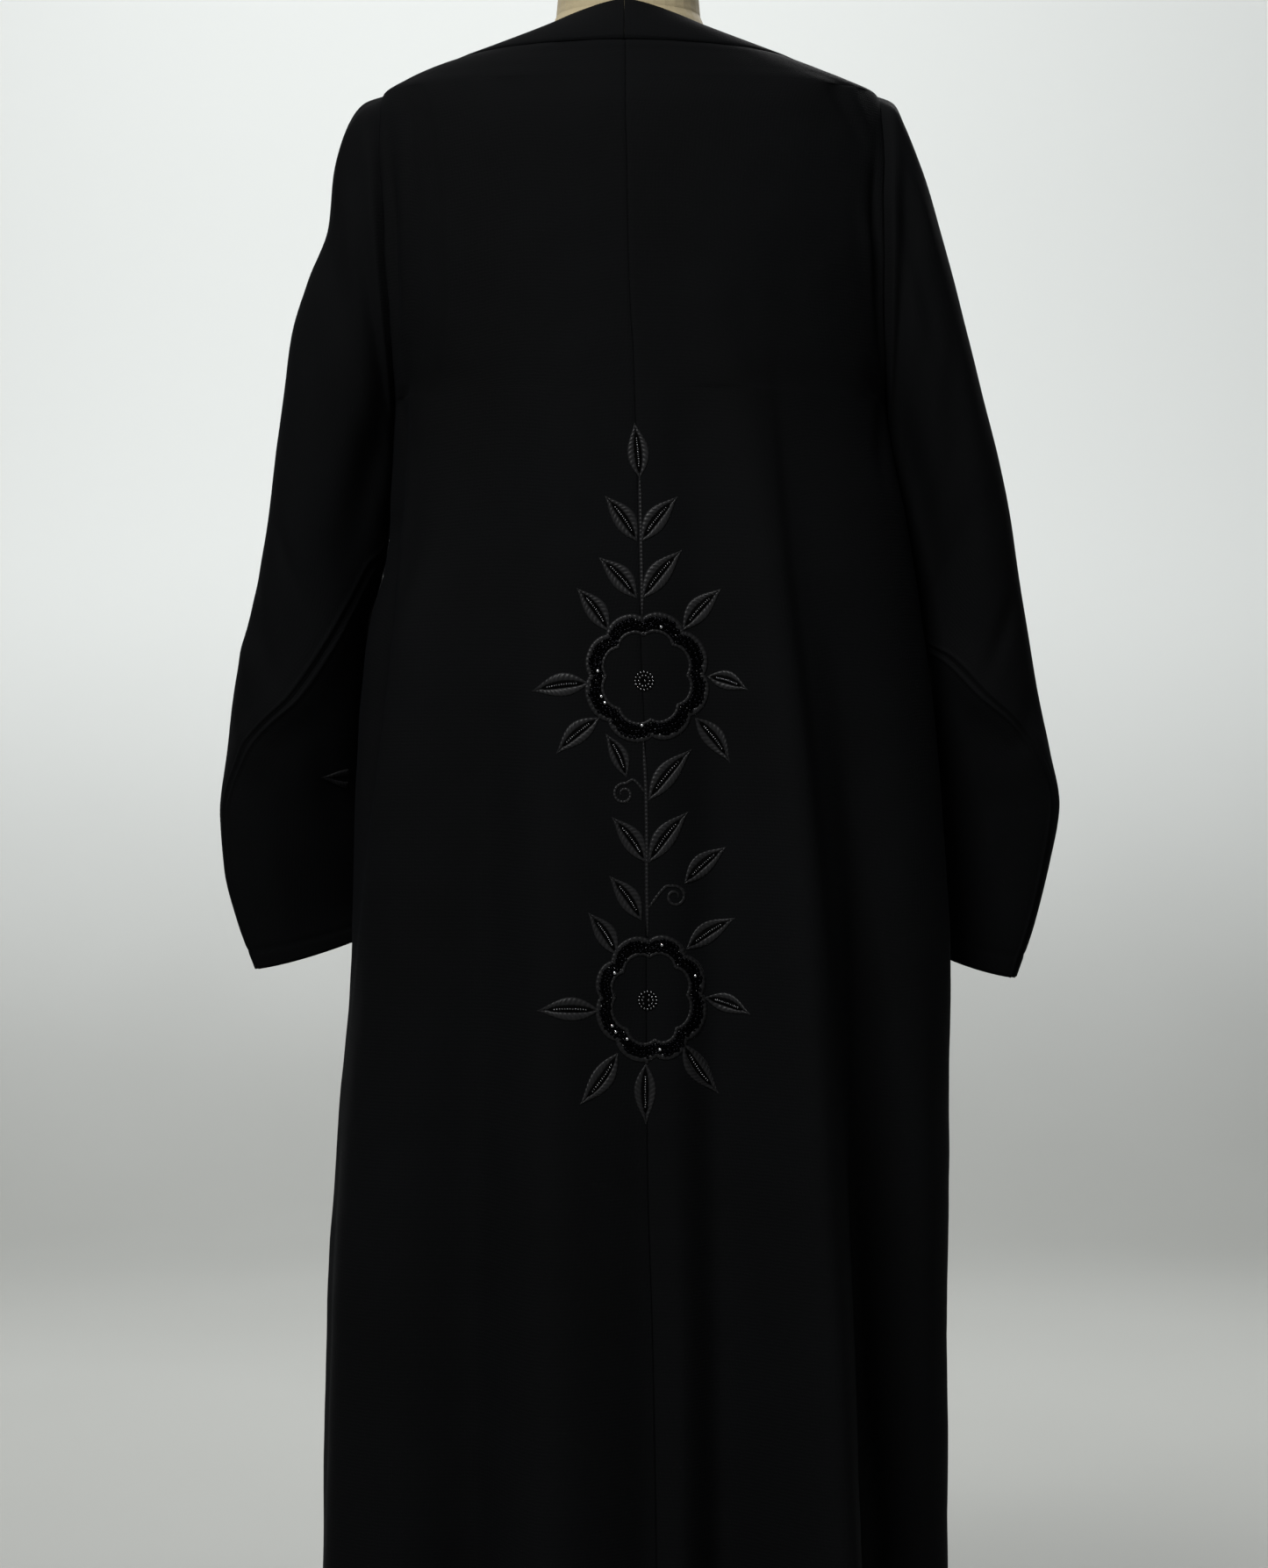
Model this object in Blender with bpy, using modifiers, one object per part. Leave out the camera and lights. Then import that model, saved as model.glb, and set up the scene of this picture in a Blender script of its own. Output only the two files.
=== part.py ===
"""A long black abaya, worn by a limbless dress form on a round stand.

The wearer's front faces -Y and the wearer's left is +X. Metres, +Z up, with the origin at the centre
of the stand's underside. Every cloth piece is one sheet laid on a garment surface, then given a wall.
"""

import math
from collections import namedtuple

import bmesh
import bpy
from mathutils import Vector

# Driving sizes
WALL = 0.0015
SEAM_GAP = 0.0003
SIDE_SEAM_GAP = 0.0006
ARMHOLE_GAP = 0.0006
HEM_HEIGHT = 0.035
UNDERARM_HEIGHT = 1.140
SHOULDER_TIP_HEIGHT = 1.384
ARMHOLE_HALF_DEPTH = 0.046
ARMHOLE_ROWS = 10
BAND_SEAM_AT_BACK = 1.4132
BAND_SEAM_AT_SHOULDER = 1.4080
BAND_TOP_AT_BACK = 1.448
BAND_WIDTH = 0.044
BAND_SHOULDER_X = 0.084
BAND_TOP_SLOPE = 0.33
BAND_BACK_DEPTH = 0.060
FRONT_OPENING_AT_NECK = 0.003
FRONT_OPENING_AT_HEM = 0.012

# Garment sections from hem to neck: how far each oval reaches to the wearer's left and right, its
# depth behind and in front of the shoulder line, where the centre back seam lies across, and the
# power of the oval (2 is an ellipse). The armhole cuts the ovals' sides off.
Section = namedtuple("Section", "height left right back front seam_x square")
BODY = [
    Section(0.0350, 0.2480, 0.2480, 0.192, 0.186, -0.023, 2.35),
    Section(0.2100, 0.2430, 0.2500, 0.186, 0.181, -0.022, 2.35),
    Section(0.4100, 0.2400, 0.2530, 0.176, 0.174, -0.019, 2.35),
    Section(0.5500, 0.2320, 0.2540, 0.167, 0.168, -0.015, 2.35),
    Section(0.7000, 0.2195, 0.2550, 0.157, 0.162, -0.014, 2.35),
    Section(0.8300, 0.2185, 0.2480, 0.147, 0.156, -0.014, 2.35),
    Section(0.9400, 0.2120, 0.2370, 0.137, 0.151, -0.010, 2.30),
    Section(1.0400, 0.1910, 0.2220, 0.128, 0.147, -0.008, 2.15),
    Section(1.1400, 0.1870, 0.2060, 0.120, 0.142, -0.005, 2.00),
    Section(1.1700, 0.1930, 0.2105, 0.118, 0.140, -0.004, 2.00),
    Section(1.2000, 0.2000, 0.2145, 0.116, 0.137, -0.002, 2.00),
    Section(1.2600, 0.2100, 0.2205, 0.113, 0.129, 0.000, 2.00),
    Section(1.3200, 0.2115, 0.2180, 0.107, 0.114, 0.001, 2.00),
    Section(1.3600, 0.2040, 0.2085, 0.101, 0.099, 0.002, 2.00),
    Section(1.3840, 0.1955, 0.1980, 0.093, 0.087, 0.002, 2.00),
    Section(1.3939, 0.1800, 0.1773, 0.089, 0.081, 0.002, 2.00),
    Section(1.3994, 0.1687, 0.1628, 0.087, 0.078, 0.002, 2.00),
    Section(1.4049, 0.1546, 0.1480, 0.085, 0.074, 0.002, 2.00),
    Section(1.4094, 0.1396, 0.1346, 0.084, 0.070, 0.002, 2.00),
    Section(1.4139, 0.1240, 0.1190, 0.081, 0.065, 0.003, 2.00),
    Section(1.4184, 0.1090, 0.1050, 0.078, 0.060, 0.003, 2.00),
    Section(1.4240, 0.0850, 0.0830, 0.072, 0.048, 0.003, 2.00),
]

# Long folds: where each one lies at its start and at the hem, in quarter turns from the centre back
# (plus to the wearer's left, 1 is the side seam and 2 the centre front), the height where it starts,
# how far it stands out at the hem, and its half width towards the back and towards the front.
Fold = namedtuple("Fold", "start_at hem_at starts stands_out back_width front_width power")
FOLDS = [
    Fold(0.62, 0.72, 1.10, 0.012, 0.10, 0.09, 1.2),
    Fold(0.355, 0.39, 1.15, -0.024, 0.10, 0.12, 1.3),
    Fold(0.183, 0.178, 1.25, 0.018, 0.09, 0.08, 1.3),
    Fold(0.00, 0.01, 0.80, -0.008, 0.05, 0.05, 1.0),
    Fold(-0.14, -0.16, 1.22, -0.022, 0.08, 0.09, 1.2),
    Fold(-0.26, -0.36, 1.28, 0.028, 0.09, 0.075, 1.1),
    Fold(-0.44, -0.56, 1.00, -0.034, 0.070, 0.12, 1.0),
    Fold(-0.80, -0.86, 1.00, 0.006, 0.10, 0.08, 1.0),
    Fold(1.18, 1.20, 0.66, -0.016, 0.09, 0.09, 1.1),
    Fold(1.40, 1.38, 1.10, 0.022, 0.11, 0.10, 1.2),
    Fold(1.62, 1.60, 1.08, -0.014, 0.09, 0.09, 1.2),
    Fold(-1.22, -1.22, 0.66, -0.016, 0.09, 0.09, 1.1),
    Fold(-1.42, -1.44, 1.12, 0.020, 0.10, 0.11, 1.2),
    Fold(-1.64, -1.64, 1.06, -0.014, 0.09, 0.08, 1.2),
]

# The tuck at the wearer's left side, where the back flare hides a groove before the side seam.
TUCK_AT = 0.73
TUCK_SLANT = 0.55
TUCK_WIDTH = 0.07
TUCK_DEPTH = 0.012
TUCK_HEIGHT = 0.90
TUCK_HALF_LENGTH = 0.20

# Sleeve sections from armhole to cuff: the point farthest from the body, the point nearest it, half
# the sleeve's thickness, the seam's turn from the outer point towards the back, and how sharply the
# cloth is creased along the seam.
Cut = namedtuple("Cut", "outer_x outer_y outer_z inner_x inner_y inner_z depth seam crease")
LEFT_SLEEVE = [
    Cut(0.1955, 0.000, 1.3840, 0.1870, 0.000, 1.140, 0.046, 180, 0.000),
    Cut(0.2110, 0.000, 1.3760, 0.1895, -0.004, 1.124, 0.053, 180, 0.000),
    Cut(0.2235, 0.000, 1.3590, 0.1898, -0.010, 1.106, 0.052, 180, 0.000),
    Cut(0.2345, 0.000, 1.3215, 0.1902, -0.016, 1.084, 0.055, 180, 0.000),
    Cut(0.2390, 0.000, 1.2795, 0.1910, -0.022, 1.062, 0.056, 180, 0.000),
    Cut(0.2550, 0.000, 1.2375, 0.1921, -0.026, 1.040, 0.056, 176, 0.000),
    Cut(0.2675, 0.000, 1.1955, 0.1948, -0.030, 1.018, 0.055, 162, 0.001),
    Cut(0.2740, 0.000, 1.1500, 0.2000, -0.034, 0.996, 0.054, 146, 0.002),
    Cut(0.2810, 0.000, 1.0980, 0.2069, -0.038, 0.972, 0.052, 136, 0.004),
    Cut(0.2885, 0.000, 1.0380, 0.2117, -0.045, 0.944, 0.050, 118, 0.005),
    Cut(0.2990, 0.000, 0.9780, 0.2146, -0.054, 0.912, 0.048, 96, 0.006),
    Cut(0.3115, 0.000, 0.9180, 0.2172, -0.064, 0.876, 0.046, 70, 0.006),
    Cut(0.3175, -0.003, 0.8640, 0.2182, -0.075, 0.842, 0.043, 28, 0.004),
    Cut(0.3235, -0.010, 0.8120, 0.2160, -0.086, 0.808, 0.040, 6, 0.002),
    Cut(0.3215, -0.020, 0.7680, 0.2140, -0.094, 0.776, 0.037, 5, 0.002),
    Cut(0.3125, -0.031, 0.7250, 0.2120, -0.101, 0.746, 0.034, 5, 0.002),
    Cut(0.3000, -0.042, 0.6870, 0.2060, -0.107, 0.7195, 0.031, 5, 0.002),
]
RIGHT_SLEEVE = [
    Cut(-0.1980, 0.000, 1.3840, -0.2060, 0.000, 1.140, 0.046, 180, 0.000),
    Cut(-0.2115, 0.000, 1.3760, -0.2093, -0.004, 1.122, 0.053, 180, 0.000),
    Cut(-0.2205, 0.000, 1.3600, -0.2120, -0.010, 1.102, 0.052, 180, 0.000),
    Cut(-0.2355, 0.000, 1.3215, -0.2158, -0.016, 1.080, 0.055, 180, 0.000),
    Cut(-0.2475, 0.000, 1.2795, -0.2195, -0.022, 1.060, 0.056, 180, 0.000),
    Cut(-0.2595, 0.000, 1.2375, -0.2227, -0.026, 1.040, 0.056, 180, 0.000),
    Cut(-0.2700, 0.000, 1.1955, -0.2257, -0.030, 1.018, 0.055, 180, 0.000),
    Cut(-0.2810, 0.000, 1.1500, -0.2290, -0.034, 0.996, 0.054, 180, 0.000),
    Cut(-0.2945, 0.000, 1.0980, -0.2330, -0.038, 0.972, 0.052, 180, 0.000),
    Cut(-0.3060, 0.001, 1.0380, -0.2360, -0.045, 0.944, 0.050, 148, 0.003),
    Cut(-0.3140, 0.003, 0.9780, -0.2435, -0.054, 0.912, 0.048, 106, 0.005),
    Cut(-0.3225, 0.003, 0.9180, -0.2475, -0.064, 0.876, 0.046, 66, 0.006),
    Cut(-0.3330, 0.000, 0.8640, -0.2492, -0.075, 0.842, 0.042, 22, 0.004),
    Cut(-0.3405, -0.008, 0.8200, -0.2470, -0.086, 0.808, 0.039, 6, 0.002),
    Cut(-0.3345, -0.020, 0.7730, -0.2450, -0.094, 0.774, 0.036, 5, 0.002),
    Cut(-0.3245, -0.032, 0.7250, -0.2435, -0.101, 0.742, 0.033, 5, 0.002),
    Cut(-0.3110, -0.043, 0.6800, -0.2412, -0.107, 0.7105, 0.030, 5, 0.002),
]

# The sleeve section where the forearm starts to turn towards the front, and where it has turned.
TWIST_FROM = 8
TWIST_FULL = 13

# Small pleats that ease the sleeve head into the armhole: their turn from the shoulder seam, how far
# they stand out, and how many sleeve sections they run over.
Pleat = namedtuple("Pleat", "turn stands_out runs half_width")
PLEATS = [Pleat(26, 0.0045, 3.6, 9), Pleat(-4, 0.0035, 2.6, 8), Pleat(-34, 0.0040, 3.0, 9)]

# Dress form, from its flat underside to the cut at the neck.
FormSection = namedtuple("FormSection", "height reach back front")
FORM = [
    FormSection(0.800, 0.158, 0.103, 0.106),
    FormSection(0.840, 0.166, 0.111, 0.112),
    FormSection(0.900, 0.166, 0.110, 0.111),
    FormSection(0.960, 0.146, 0.094, 0.100),
    FormSection(1.020, 0.129, 0.081, 0.094),
    FormSection(1.080, 0.142, 0.086, 0.108),
    FormSection(1.140, 0.160, 0.096, 0.127),
    FormSection(1.190, 0.167, 0.101, 0.128),
    FormSection(1.250, 0.171, 0.104, 0.116),
    FormSection(1.310, 0.175, 0.100, 0.102),
    FormSection(1.355, 0.178, 0.093, 0.088),
]
FORM_DROP = 0.0027
FORM_INSET_BACK = 0.0020
FORM_INSET_FRONT = 0.0040
FORM_TIP_REACH = 0.1795
SHOULDER_HEIGHTS = [1.378, 1.387, 1.392, 1.398, 1.4035, 1.408, 1.4124, 1.4190]
NECK = [
    FormSection(1.4235, 0.0775, 0.0660, 0.0540),
    FormSection(1.4320, 0.0640, 0.0575, 0.0560),
    FormSection(1.4470, 0.0575, 0.0530, 0.0580),
    FormSection(1.4700, 0.0555, 0.0515, 0.0595),
    FormSection(1.5020, 0.0555, 0.0515, 0.0595),
]

POLE_RADIUS = 0.0125
FLANGE_RADIUS = 0.045
FLANGE_THICKNESS = 0.006
BASE_RADIUS = 0.175
BASE_THICKNESS = 0.010
BOSS_RADIUS = 0.028
BOSS_HEIGHT = 0.060
SOCKET_FLOOR = 0.008

# Linear colours, with roughness and metallic
CLOTH_BLACK = ((0.0065, 0.0068, 0.0075, 1.0), 0.85, 0.0)
FORM_CREAM = ((0.52, 0.42, 0.25, 1.0), 0.45, 0.0)
STAND_STEEL = ((0.35, 0.35, 0.36, 1.0), 0.35, 1.0)


def smooth_value(rows, column, key, at):
    """The column's value at a key, on a smooth curve through the rows that never overshoots them."""
    keys = [getattr(row, key) for row in rows]
    values = [getattr(row, column) for row in rows]
    at = min(max(at, keys[0]), keys[-1])
    i = max(n for n in range(len(keys) - 1) if keys[n] <= at)
    steps = [b - a for a, b in zip(keys, keys[1:])]
    slopes = [(b - a) / s for a, b, s in zip(values, values[1:], steps)]

    def tangent(n):
        if n == 0 or n == len(keys) - 1:
            return slopes[min(n, len(slopes) - 1)]
        before, after = slopes[n - 1], slopes[n]
        return 0.0 if before * after <= 0 else 2 * before * after / (before + after)

    h, t = steps[i], (at - keys[i]) / steps[i]
    rise = values[i + 1] - values[i]
    start, end = tangent(i) * h, tangent(i + 1) * h
    return values[i] + t * (start + t * ((3 * rise - 2 * start - end) + t * (start + end - 2 * rise)))


def body_value(column, height):
    return smooth_value(BODY, column, "height", height)


def armhole_depth(height):
    """Half the armhole's depth at a height, and 0 below the underarm and above the shoulder tip."""
    middle = (UNDERARM_HEIGHT + SHOULDER_TIP_HEIGHT) / 2
    half = (SHOULDER_TIP_HEIGHT - UNDERARM_HEIGHT) / 2
    return ARMHOLE_HALF_DEPTH * math.sqrt(max(0.0, 1 - ((height - middle) / half) ** 2))


def fold_offset(around, height):
    """How far the folds push the cloth out at this place."""
    total = 0.0
    for fold in FOLDS:
        if height >= fold.starts:
            continue
        grown = (fold.starts - height) / (fold.starts - HEM_HEIGHT)
        centre = fold.start_at + (fold.hem_at - fold.start_at) * grown
        away = abs(around) - abs(centre) if around * centre >= 0 else abs(around - centre)
        width = fold.front_width if away > 0 else fold.back_width
        total += fold.stands_out * grown**fold.power * math.exp(-((away / width) ** 2))
    if around > 0:
        along = (height - TUCK_HEIGHT) / TUCK_HALF_LENGTH
        if abs(along) < 1:
            centre = TUCK_AT - TUCK_SLANT * (height - TUCK_HEIGHT)
            across = math.exp(-(((around - centre) / TUCK_WIDTH) ** 2))
            total -= TUCK_DEPTH * (1 - along * along) ** 2 * across
    return total


def body_point(around, height):
    """A point of the garment's outer face, from quarter turns round the body and a height."""
    side = 1 if around >= 0 else -1
    quarters = abs(around)
    behind = quarters <= 1
    reach = body_value("left" if side > 0 else "right", height)
    depth = body_value("back" if behind else "front", height)
    power = body_value("square", height)
    sweep = math.acos(armhole_depth(height) / depth)
    turn = (quarters if behind else 2 - quarters) * sweep
    round_off = (abs(math.sin(turn)) ** power + abs(math.cos(turn)) ** power) ** (-1 / power)
    across = math.sin(turn) * round_off
    x = side * reach * across
    y = depth * math.cos(turn) * round_off
    if behind:
        x += body_value("seam_x", height) * max(0.0, 1 - across)
    normal = Vector((side * math.sin(turn) * depth, math.cos(turn) * reach, 0)).normalized()
    out = fold_offset(around, height)
    x += normal.x * out
    y += normal.y * out
    return Vector((x, y if behind else -y, height))


def front_around(side, x, height):
    """The quarter turns at which the front lies at a distance x from the centre."""
    reach = body_value("left" if side > 0 else "right", height)
    depth = body_value("front", height)
    power = body_value("square", height)
    sweep = math.acos(armhole_depth(height) / depth)
    share = min(1.0, x / reach)
    tangent = share / max(1e-9, (1 - share**power) ** (1 / power))
    return side * (2 - math.atan(tangent) / sweep)


def band_bend_height():
    """Where the band's seam turns from the front edge to the neckline, at one of the panels' rows."""
    return armhole_heights()[ARMHOLE_ROWS // 2 - 1]


def v_neck_height():
    return band_bend_height() + BAND_WIDTH / 2


def front_opening(height):
    """Half the gap between the two front edges."""
    share = (v_neck_height() - height) / (v_neck_height() - HEM_HEIGHT)
    return FRONT_OPENING_AT_NECK + (FRONT_OPENING_AT_HEM - FRONT_OPENING_AT_NECK) * max(0.0, share)


def band_seam_height(quarters):
    """The seam between the back and the band: a little higher at the centre back."""
    fall = BAND_SEAM_AT_BACK - BAND_SEAM_AT_SHOULDER
    return BAND_SEAM_AT_BACK - fall * (1 - math.cos(min(quarters, 1) * math.pi / 2))


def band_seam_x(side, height):
    """Where the front panel meets the band: straight down the front, then out to the shoulder."""
    low = band_bend_height()
    edge = front_opening(height) + BAND_WIDTH
    if height <= low:
        return edge
    top = body_value("left" if side > 0 else "right", BAND_SEAM_AT_SHOULDER)
    return edge + (top - edge) * (height - low) / (BAND_SEAM_AT_SHOULDER - low)


def spaced(low, high, count):
    return [low + (high - low) * n / count for n in range(count + 1)]


def armhole_heights():
    """Heights that crowd towards both ends, as the armhole's curve needs."""
    middle = (UNDERARM_HEIGHT + SHOULDER_TIP_HEIGHT) / 2
    half = (SHOULDER_TIP_HEIGHT - UNDERARM_HEIGHT) / 2
    return [middle - half * math.cos(math.pi * n / ARMHOLE_ROWS) for n in range(ARMHOLE_ROWS + 1)]


def body_heights(top):
    """The panels' rows. The top is the height of the last one, at the band."""
    skirt = spaced(HEM_HEIGHT, 1.00, 7)
    chest = spaced(1.00, UNDERARM_HEIGHT, 3)
    shoulder = spaced(SHOULDER_TIP_HEIGHT, top, 4)
    return skirt + chest[1:] + armhole_heights()[1:] + shoulder[1:]


def material(name, look):
    colour, roughness, metallic = look
    made = bpy.data.materials.new(name)
    made.use_nodes = True
    shader = made.node_tree.nodes["Principled BSDF"]
    shader.inputs["Base Color"].default_value = colour
    shader.inputs["Roughness"].default_value = roughness
    shader.inputs["Metallic"].default_value = metallic
    return made


def add_object(name, bm, finish, collection):
    mesh = bpy.data.meshes.new(name)
    bm.to_mesh(mesh)
    bm.free()
    mesh.materials.append(finish)
    made = bpy.data.objects.new(name, mesh)
    collection.objects.link(made)
    return made


def cloth_sheet(name, columns, rows, place, flip, finish, collection):
    """A grid laid on the garment by place(across, up), both from 0 to 1, with a wall inside it."""
    bm = bmesh.new()
    bmesh.ops.create_grid(bm, x_segments=columns, y_segments=rows, size=0.5)
    for vert in bm.verts:
        vert.co = place(vert.co.x + 0.5, vert.co.y + 0.5)
    if flip:
        bmesh.ops.reverse_faces(bm, faces=bm.faces)
    made = add_object(name, bm, finish, collection)
    wall = made.modifiers.new("wall", "SOLIDIFY")
    wall.thickness = WALL
    wall.offset = -1
    wall.use_even_offset = True
    wall.use_rim = True
    return made


def row_at(values, share):
    """The value at a share of a list, between its members where the share falls between two."""
    place = share * (len(values) - 1)
    n = min(int(place), len(values) - 2)
    return values[n] + (values[n + 1] - values[n]) * (place - n)


def seam_trim(side, around, height, gap):
    """Quarter turns that leave half a seam gap at this place."""
    here = body_point(around, height)
    near = body_point(around - 0.01 * side, height)
    return 0.01 * (gap / 2) / max(1e-6, (here - near).length)


def back_panel(side, name, finish, collection):
    rows = len(body_heights(1)) - 1

    def place(across, up):
        height = row_at(body_heights(band_seam_height(across) - SEAM_GAP), up)
        inner = seam_trim(side, 0.05 * side, height, SEAM_GAP)
        outer = 1 - seam_trim(side, side, height, SIDE_SEAM_GAP)
        return body_point(side * (inner + (outer - inner) * across), height)

    return cloth_sheet(name, 18, rows, place, side > 0, finish, collection)


def front_panel(side, name, finish, collection):
    heights = body_heights(BAND_SEAM_AT_SHOULDER - SEAM_GAP)

    def place(across, up):
        height = row_at(heights, up)
        outer = side * (1 + seam_trim(side, side, height, SIDE_SEAM_GAP))
        inner = front_around(side, band_seam_x(side, height) + SEAM_GAP / 2, height)
        return body_point(outer + (inner - outer) * across, height)

    return cloth_sheet(name, 12, len(heights) - 1, place, side > 0, finish, collection)


def band_edge_back(side, turn):
    """The band's upper edge behind the neck: a low peak at the centre back."""
    x = BAND_SHOULDER_X * math.sin(turn)
    drop = BAND_TOP_SLOPE * (math.hypot(x, 0.012) - 0.012)
    seam_x = body_value("seam_x", BAND_SEAM_AT_BACK) * math.cos(turn)
    return Vector((side * x + seam_x, BAND_BACK_DEPTH * math.cos(turn), BAND_TOP_AT_BACK - drop))


def band_behind_neck(side, turn, across):
    """The band from the centre back to the shoulder. It bulges a little, as rolled cloth does."""
    quarters = turn / (math.pi / 2)
    low = body_point(side * quarters, band_seam_height(quarters))
    high = band_edge_back(side, turn)
    out = Vector((math.sin(turn) * side, math.cos(turn), 0.6)).normalized()
    return low.lerp(high, across) + out * (0.003 * math.sin(math.pi * across) * math.cos(turn))


def band_in_front(side, seam_height, edge_height, across):
    """The band between a height on its seam and a height on its free edge."""
    height = seam_height + (edge_height - seam_height) * across
    top = BODY[-1].height
    edge = front_opening(edge_height)
    rise = max(0.0, (edge_height - v_neck_height()) / (top - v_neck_height()))
    edge += (body_value("left" if side > 0 else "right", top) - edge) * rise
    seam = band_seam_x(side, seam_height) - SEAM_GAP / 2
    return body_point(front_around(side, seam + (edge - seam) * across, height), height)


def band(side, name, finish, collection):
    """One strip from the centre back, over the shoulder and down the front edge to the hem."""
    back_share, neck_share = 12 / 42, 28 / 42
    top = BODY[-1].height
    bend = band_bend_height()

    def place(across, along):
        if along <= back_share + 1e-6:
            turn = max(along / back_share * math.pi / 2, SEAM_GAP / 2 / BAND_SHOULDER_X)
            return band_behind_neck(side, turn, across)
        if along <= neck_share:
            share = ((along - back_share) / (neck_share - back_share)) ** 1.8
            seam_height = BAND_SEAM_AT_SHOULDER + (bend - BAND_SEAM_AT_SHOULDER) * share
            return band_in_front(side, seam_height, top + (v_neck_height() - top) * share, across)
        share = (along - neck_share) / (1 - neck_share)
        edge_height = v_neck_height() + (HEM_HEIGHT - v_neck_height()) * share
        return band_in_front(side, bend + (HEM_HEIGHT - bend) * share, edge_height, across)

    return cloth_sheet(name, 3, 42, place, side > 0, finish, collection)


def sleeve_value(rows, column, place):
    """The column's value at a place counted in sections from the armhole."""
    Numbered = namedtuple("Numbered", "at value")
    numbered = [Numbered(n, getattr(row, column)) for n, row in enumerate(rows)]
    return smooth_value(numbered, "value", "at", place)


def pleat_offset(turn, place):
    total = 0.0
    for pleat in PLEATS:
        if place < pleat.runs:
            rise = math.sin(math.pi * min(1.0, (place + 0.25) / (pleat.runs + 0.25)))
            away = (turn - pleat.turn + 180) % 360 - 180
            total += pleat.stands_out * rise * math.exp(-((away / pleat.half_width) ** 2))
    return total


def sleeve_point(side, rows, turn, place):
    """A point of the sleeve's outer face. turn runs in degrees from the outer point to the back."""
    value = {name: sleeve_value(rows, name, place) for name in Cut._fields}
    outer = Vector((value["outer_x"], value["outer_y"], value["outer_z"]))
    inner = Vector((value["inner_x"], value["inner_y"], value["inner_z"]))
    middle, half = (outer + inner) / 2, (outer - inner) / 2
    twist = min(1.0, max(0.0, (place - TWIST_FROM) / (TWIST_FULL - TWIST_FROM)))
    flat = Vector((1, 0, 0)).lerp(Vector((abs(half.x), half.y, 0)).normalized(), twist)
    behind = Vector((-flat.y * side, flat.x, 0)).normalized()
    angle = math.radians(turn)
    away = (turn - value["seam"] + 180) % 360 - 180
    lift = value["crease"] * math.exp(-((away / 20) ** 2)) + pleat_offset(turn, place)
    stretch = 1 + lift / half.length
    point = middle + half * math.cos(angle) * stretch
    point += behind * math.sin(angle) * (value["depth"] + lift)
    if place < 1:
        start = sleeve_start(rows, angle)
        point += (armhole_edge(side, angle) - start) * (1 - place) ** 2
    return point


def armhole_edge(side, angle):
    """The panels' armhole edge, which runs straight between their rows, with a seam's gap."""
    heights = armhole_heights()
    rows_up = (1 - math.acos(math.cos(angle)) / math.pi) * ARMHOLE_ROWS
    row = min(int(rows_up), ARMHOLE_ROWS - 1)
    around = side if math.sin(angle) >= 0 else side * (1 + 1e-9)
    low, high = body_point(around, heights[row]), body_point(around, heights[row + 1])
    return low.lerp(high, rows_up - row) + Vector((side * ARMHOLE_GAP, 0, 0))


def sleeve_start(rows, angle):
    first = rows[0]
    outer = Vector((first.outer_x, first.outer_y, first.outer_z))
    inner = Vector((first.inner_x, first.inner_y, first.inner_z))
    middle, half = (outer + inner) / 2, (outer - inner) / 2
    return middle + half * math.cos(angle) + Vector((0, first.depth * math.sin(angle), 0))


def sleeve(side, rows, name, finish, collection):
    """One wrapped sheet whose two long edges meet at the seam."""
    last = len(rows) - 1

    def place(across, along):
        at = along * last
        seam = sleeve_value(rows, "seam", at)
        trim = math.degrees(SEAM_GAP / 2 / sleeve_value(rows, "depth", at))
        turn = seam + trim + (360 - 2 * trim) * across
        return sleeve_point(side, rows, turn, at)

    return cloth_sheet(name, 2 * ARMHOLE_ROWS, 24, place, side > 0, finish, collection)


def form_rings():
    """The dress form's sections: height, reach to left and right, depth behind and in front."""
    rings = [(s.height, s.reach, s.reach, s.back, s.front) for s in FORM]
    for height in SHOULDER_HEIGHTS:
        above = height + FORM_DROP
        left = min(FORM_TIP_REACH, body_value("left", above))
        right = min(FORM_TIP_REACH, body_value("right", above))
        rings.append((
            height,
            left,
            right,
            body_value("back", above) - FORM_INSET_BACK,
            body_value("front", above) - FORM_INSET_FRONT,
        ))
    return rings + [(s.height, s.reach, s.reach, s.back, s.front) for s in NECK]


def dress_form(name, finish, collection):
    rings = form_rings()

    def place(across, up):
        n = round(up * (len(rings) - 1))
        height, left, right, back, front = rings[n]
        turn = across * 2 * math.pi
        x = math.sin(turn) * (left if math.sin(turn) >= 0 else right)
        y = math.cos(turn) * (back if math.cos(turn) >= 0 else front)
        return Vector((x, y, height))

    bm = bmesh.new()
    bmesh.ops.create_grid(bm, x_segments=36, y_segments=len(rings) - 1, size=0.5)
    for vert in bm.verts:
        vert.co = place(vert.co.x + 0.5, vert.co.y + 0.5)
    bmesh.ops.remove_doubles(bm, verts=bm.verts, dist=1e-5)
    bmesh.ops.holes_fill(bm, edges=[edge for edge in bm.edges if edge.is_boundary], sides=0)
    bmesh.ops.recalc_face_normals(bm, faces=bm.faces)
    return add_object(name, bm, finish, collection)


def turned(name, profile, steps, finish, collection):
    """A solid of revolution about Z. The profile runs from the axis at its lowest point, outwards and up."""
    bm = bmesh.new()
    verts = [bm.verts.new((radius, 0, height)) for radius, height in profile]
    edges = [bm.edges.new((start, end)) for start, end in zip(verts, verts[1:])]
    bmesh.ops.spin(
        bm,
        geom=verts + edges,
        axis=(0, 0, 1),
        cent=(0, 0, 0),
        angle=2 * math.pi,
        steps=steps,
        use_merge=True,
    )
    bmesh.ops.remove_doubles(bm, verts=bm.verts, dist=1e-5)
    bmesh.ops.recalc_face_normals(bm, faces=bm.faces)
    return add_object(name, bm, finish, collection)


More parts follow.
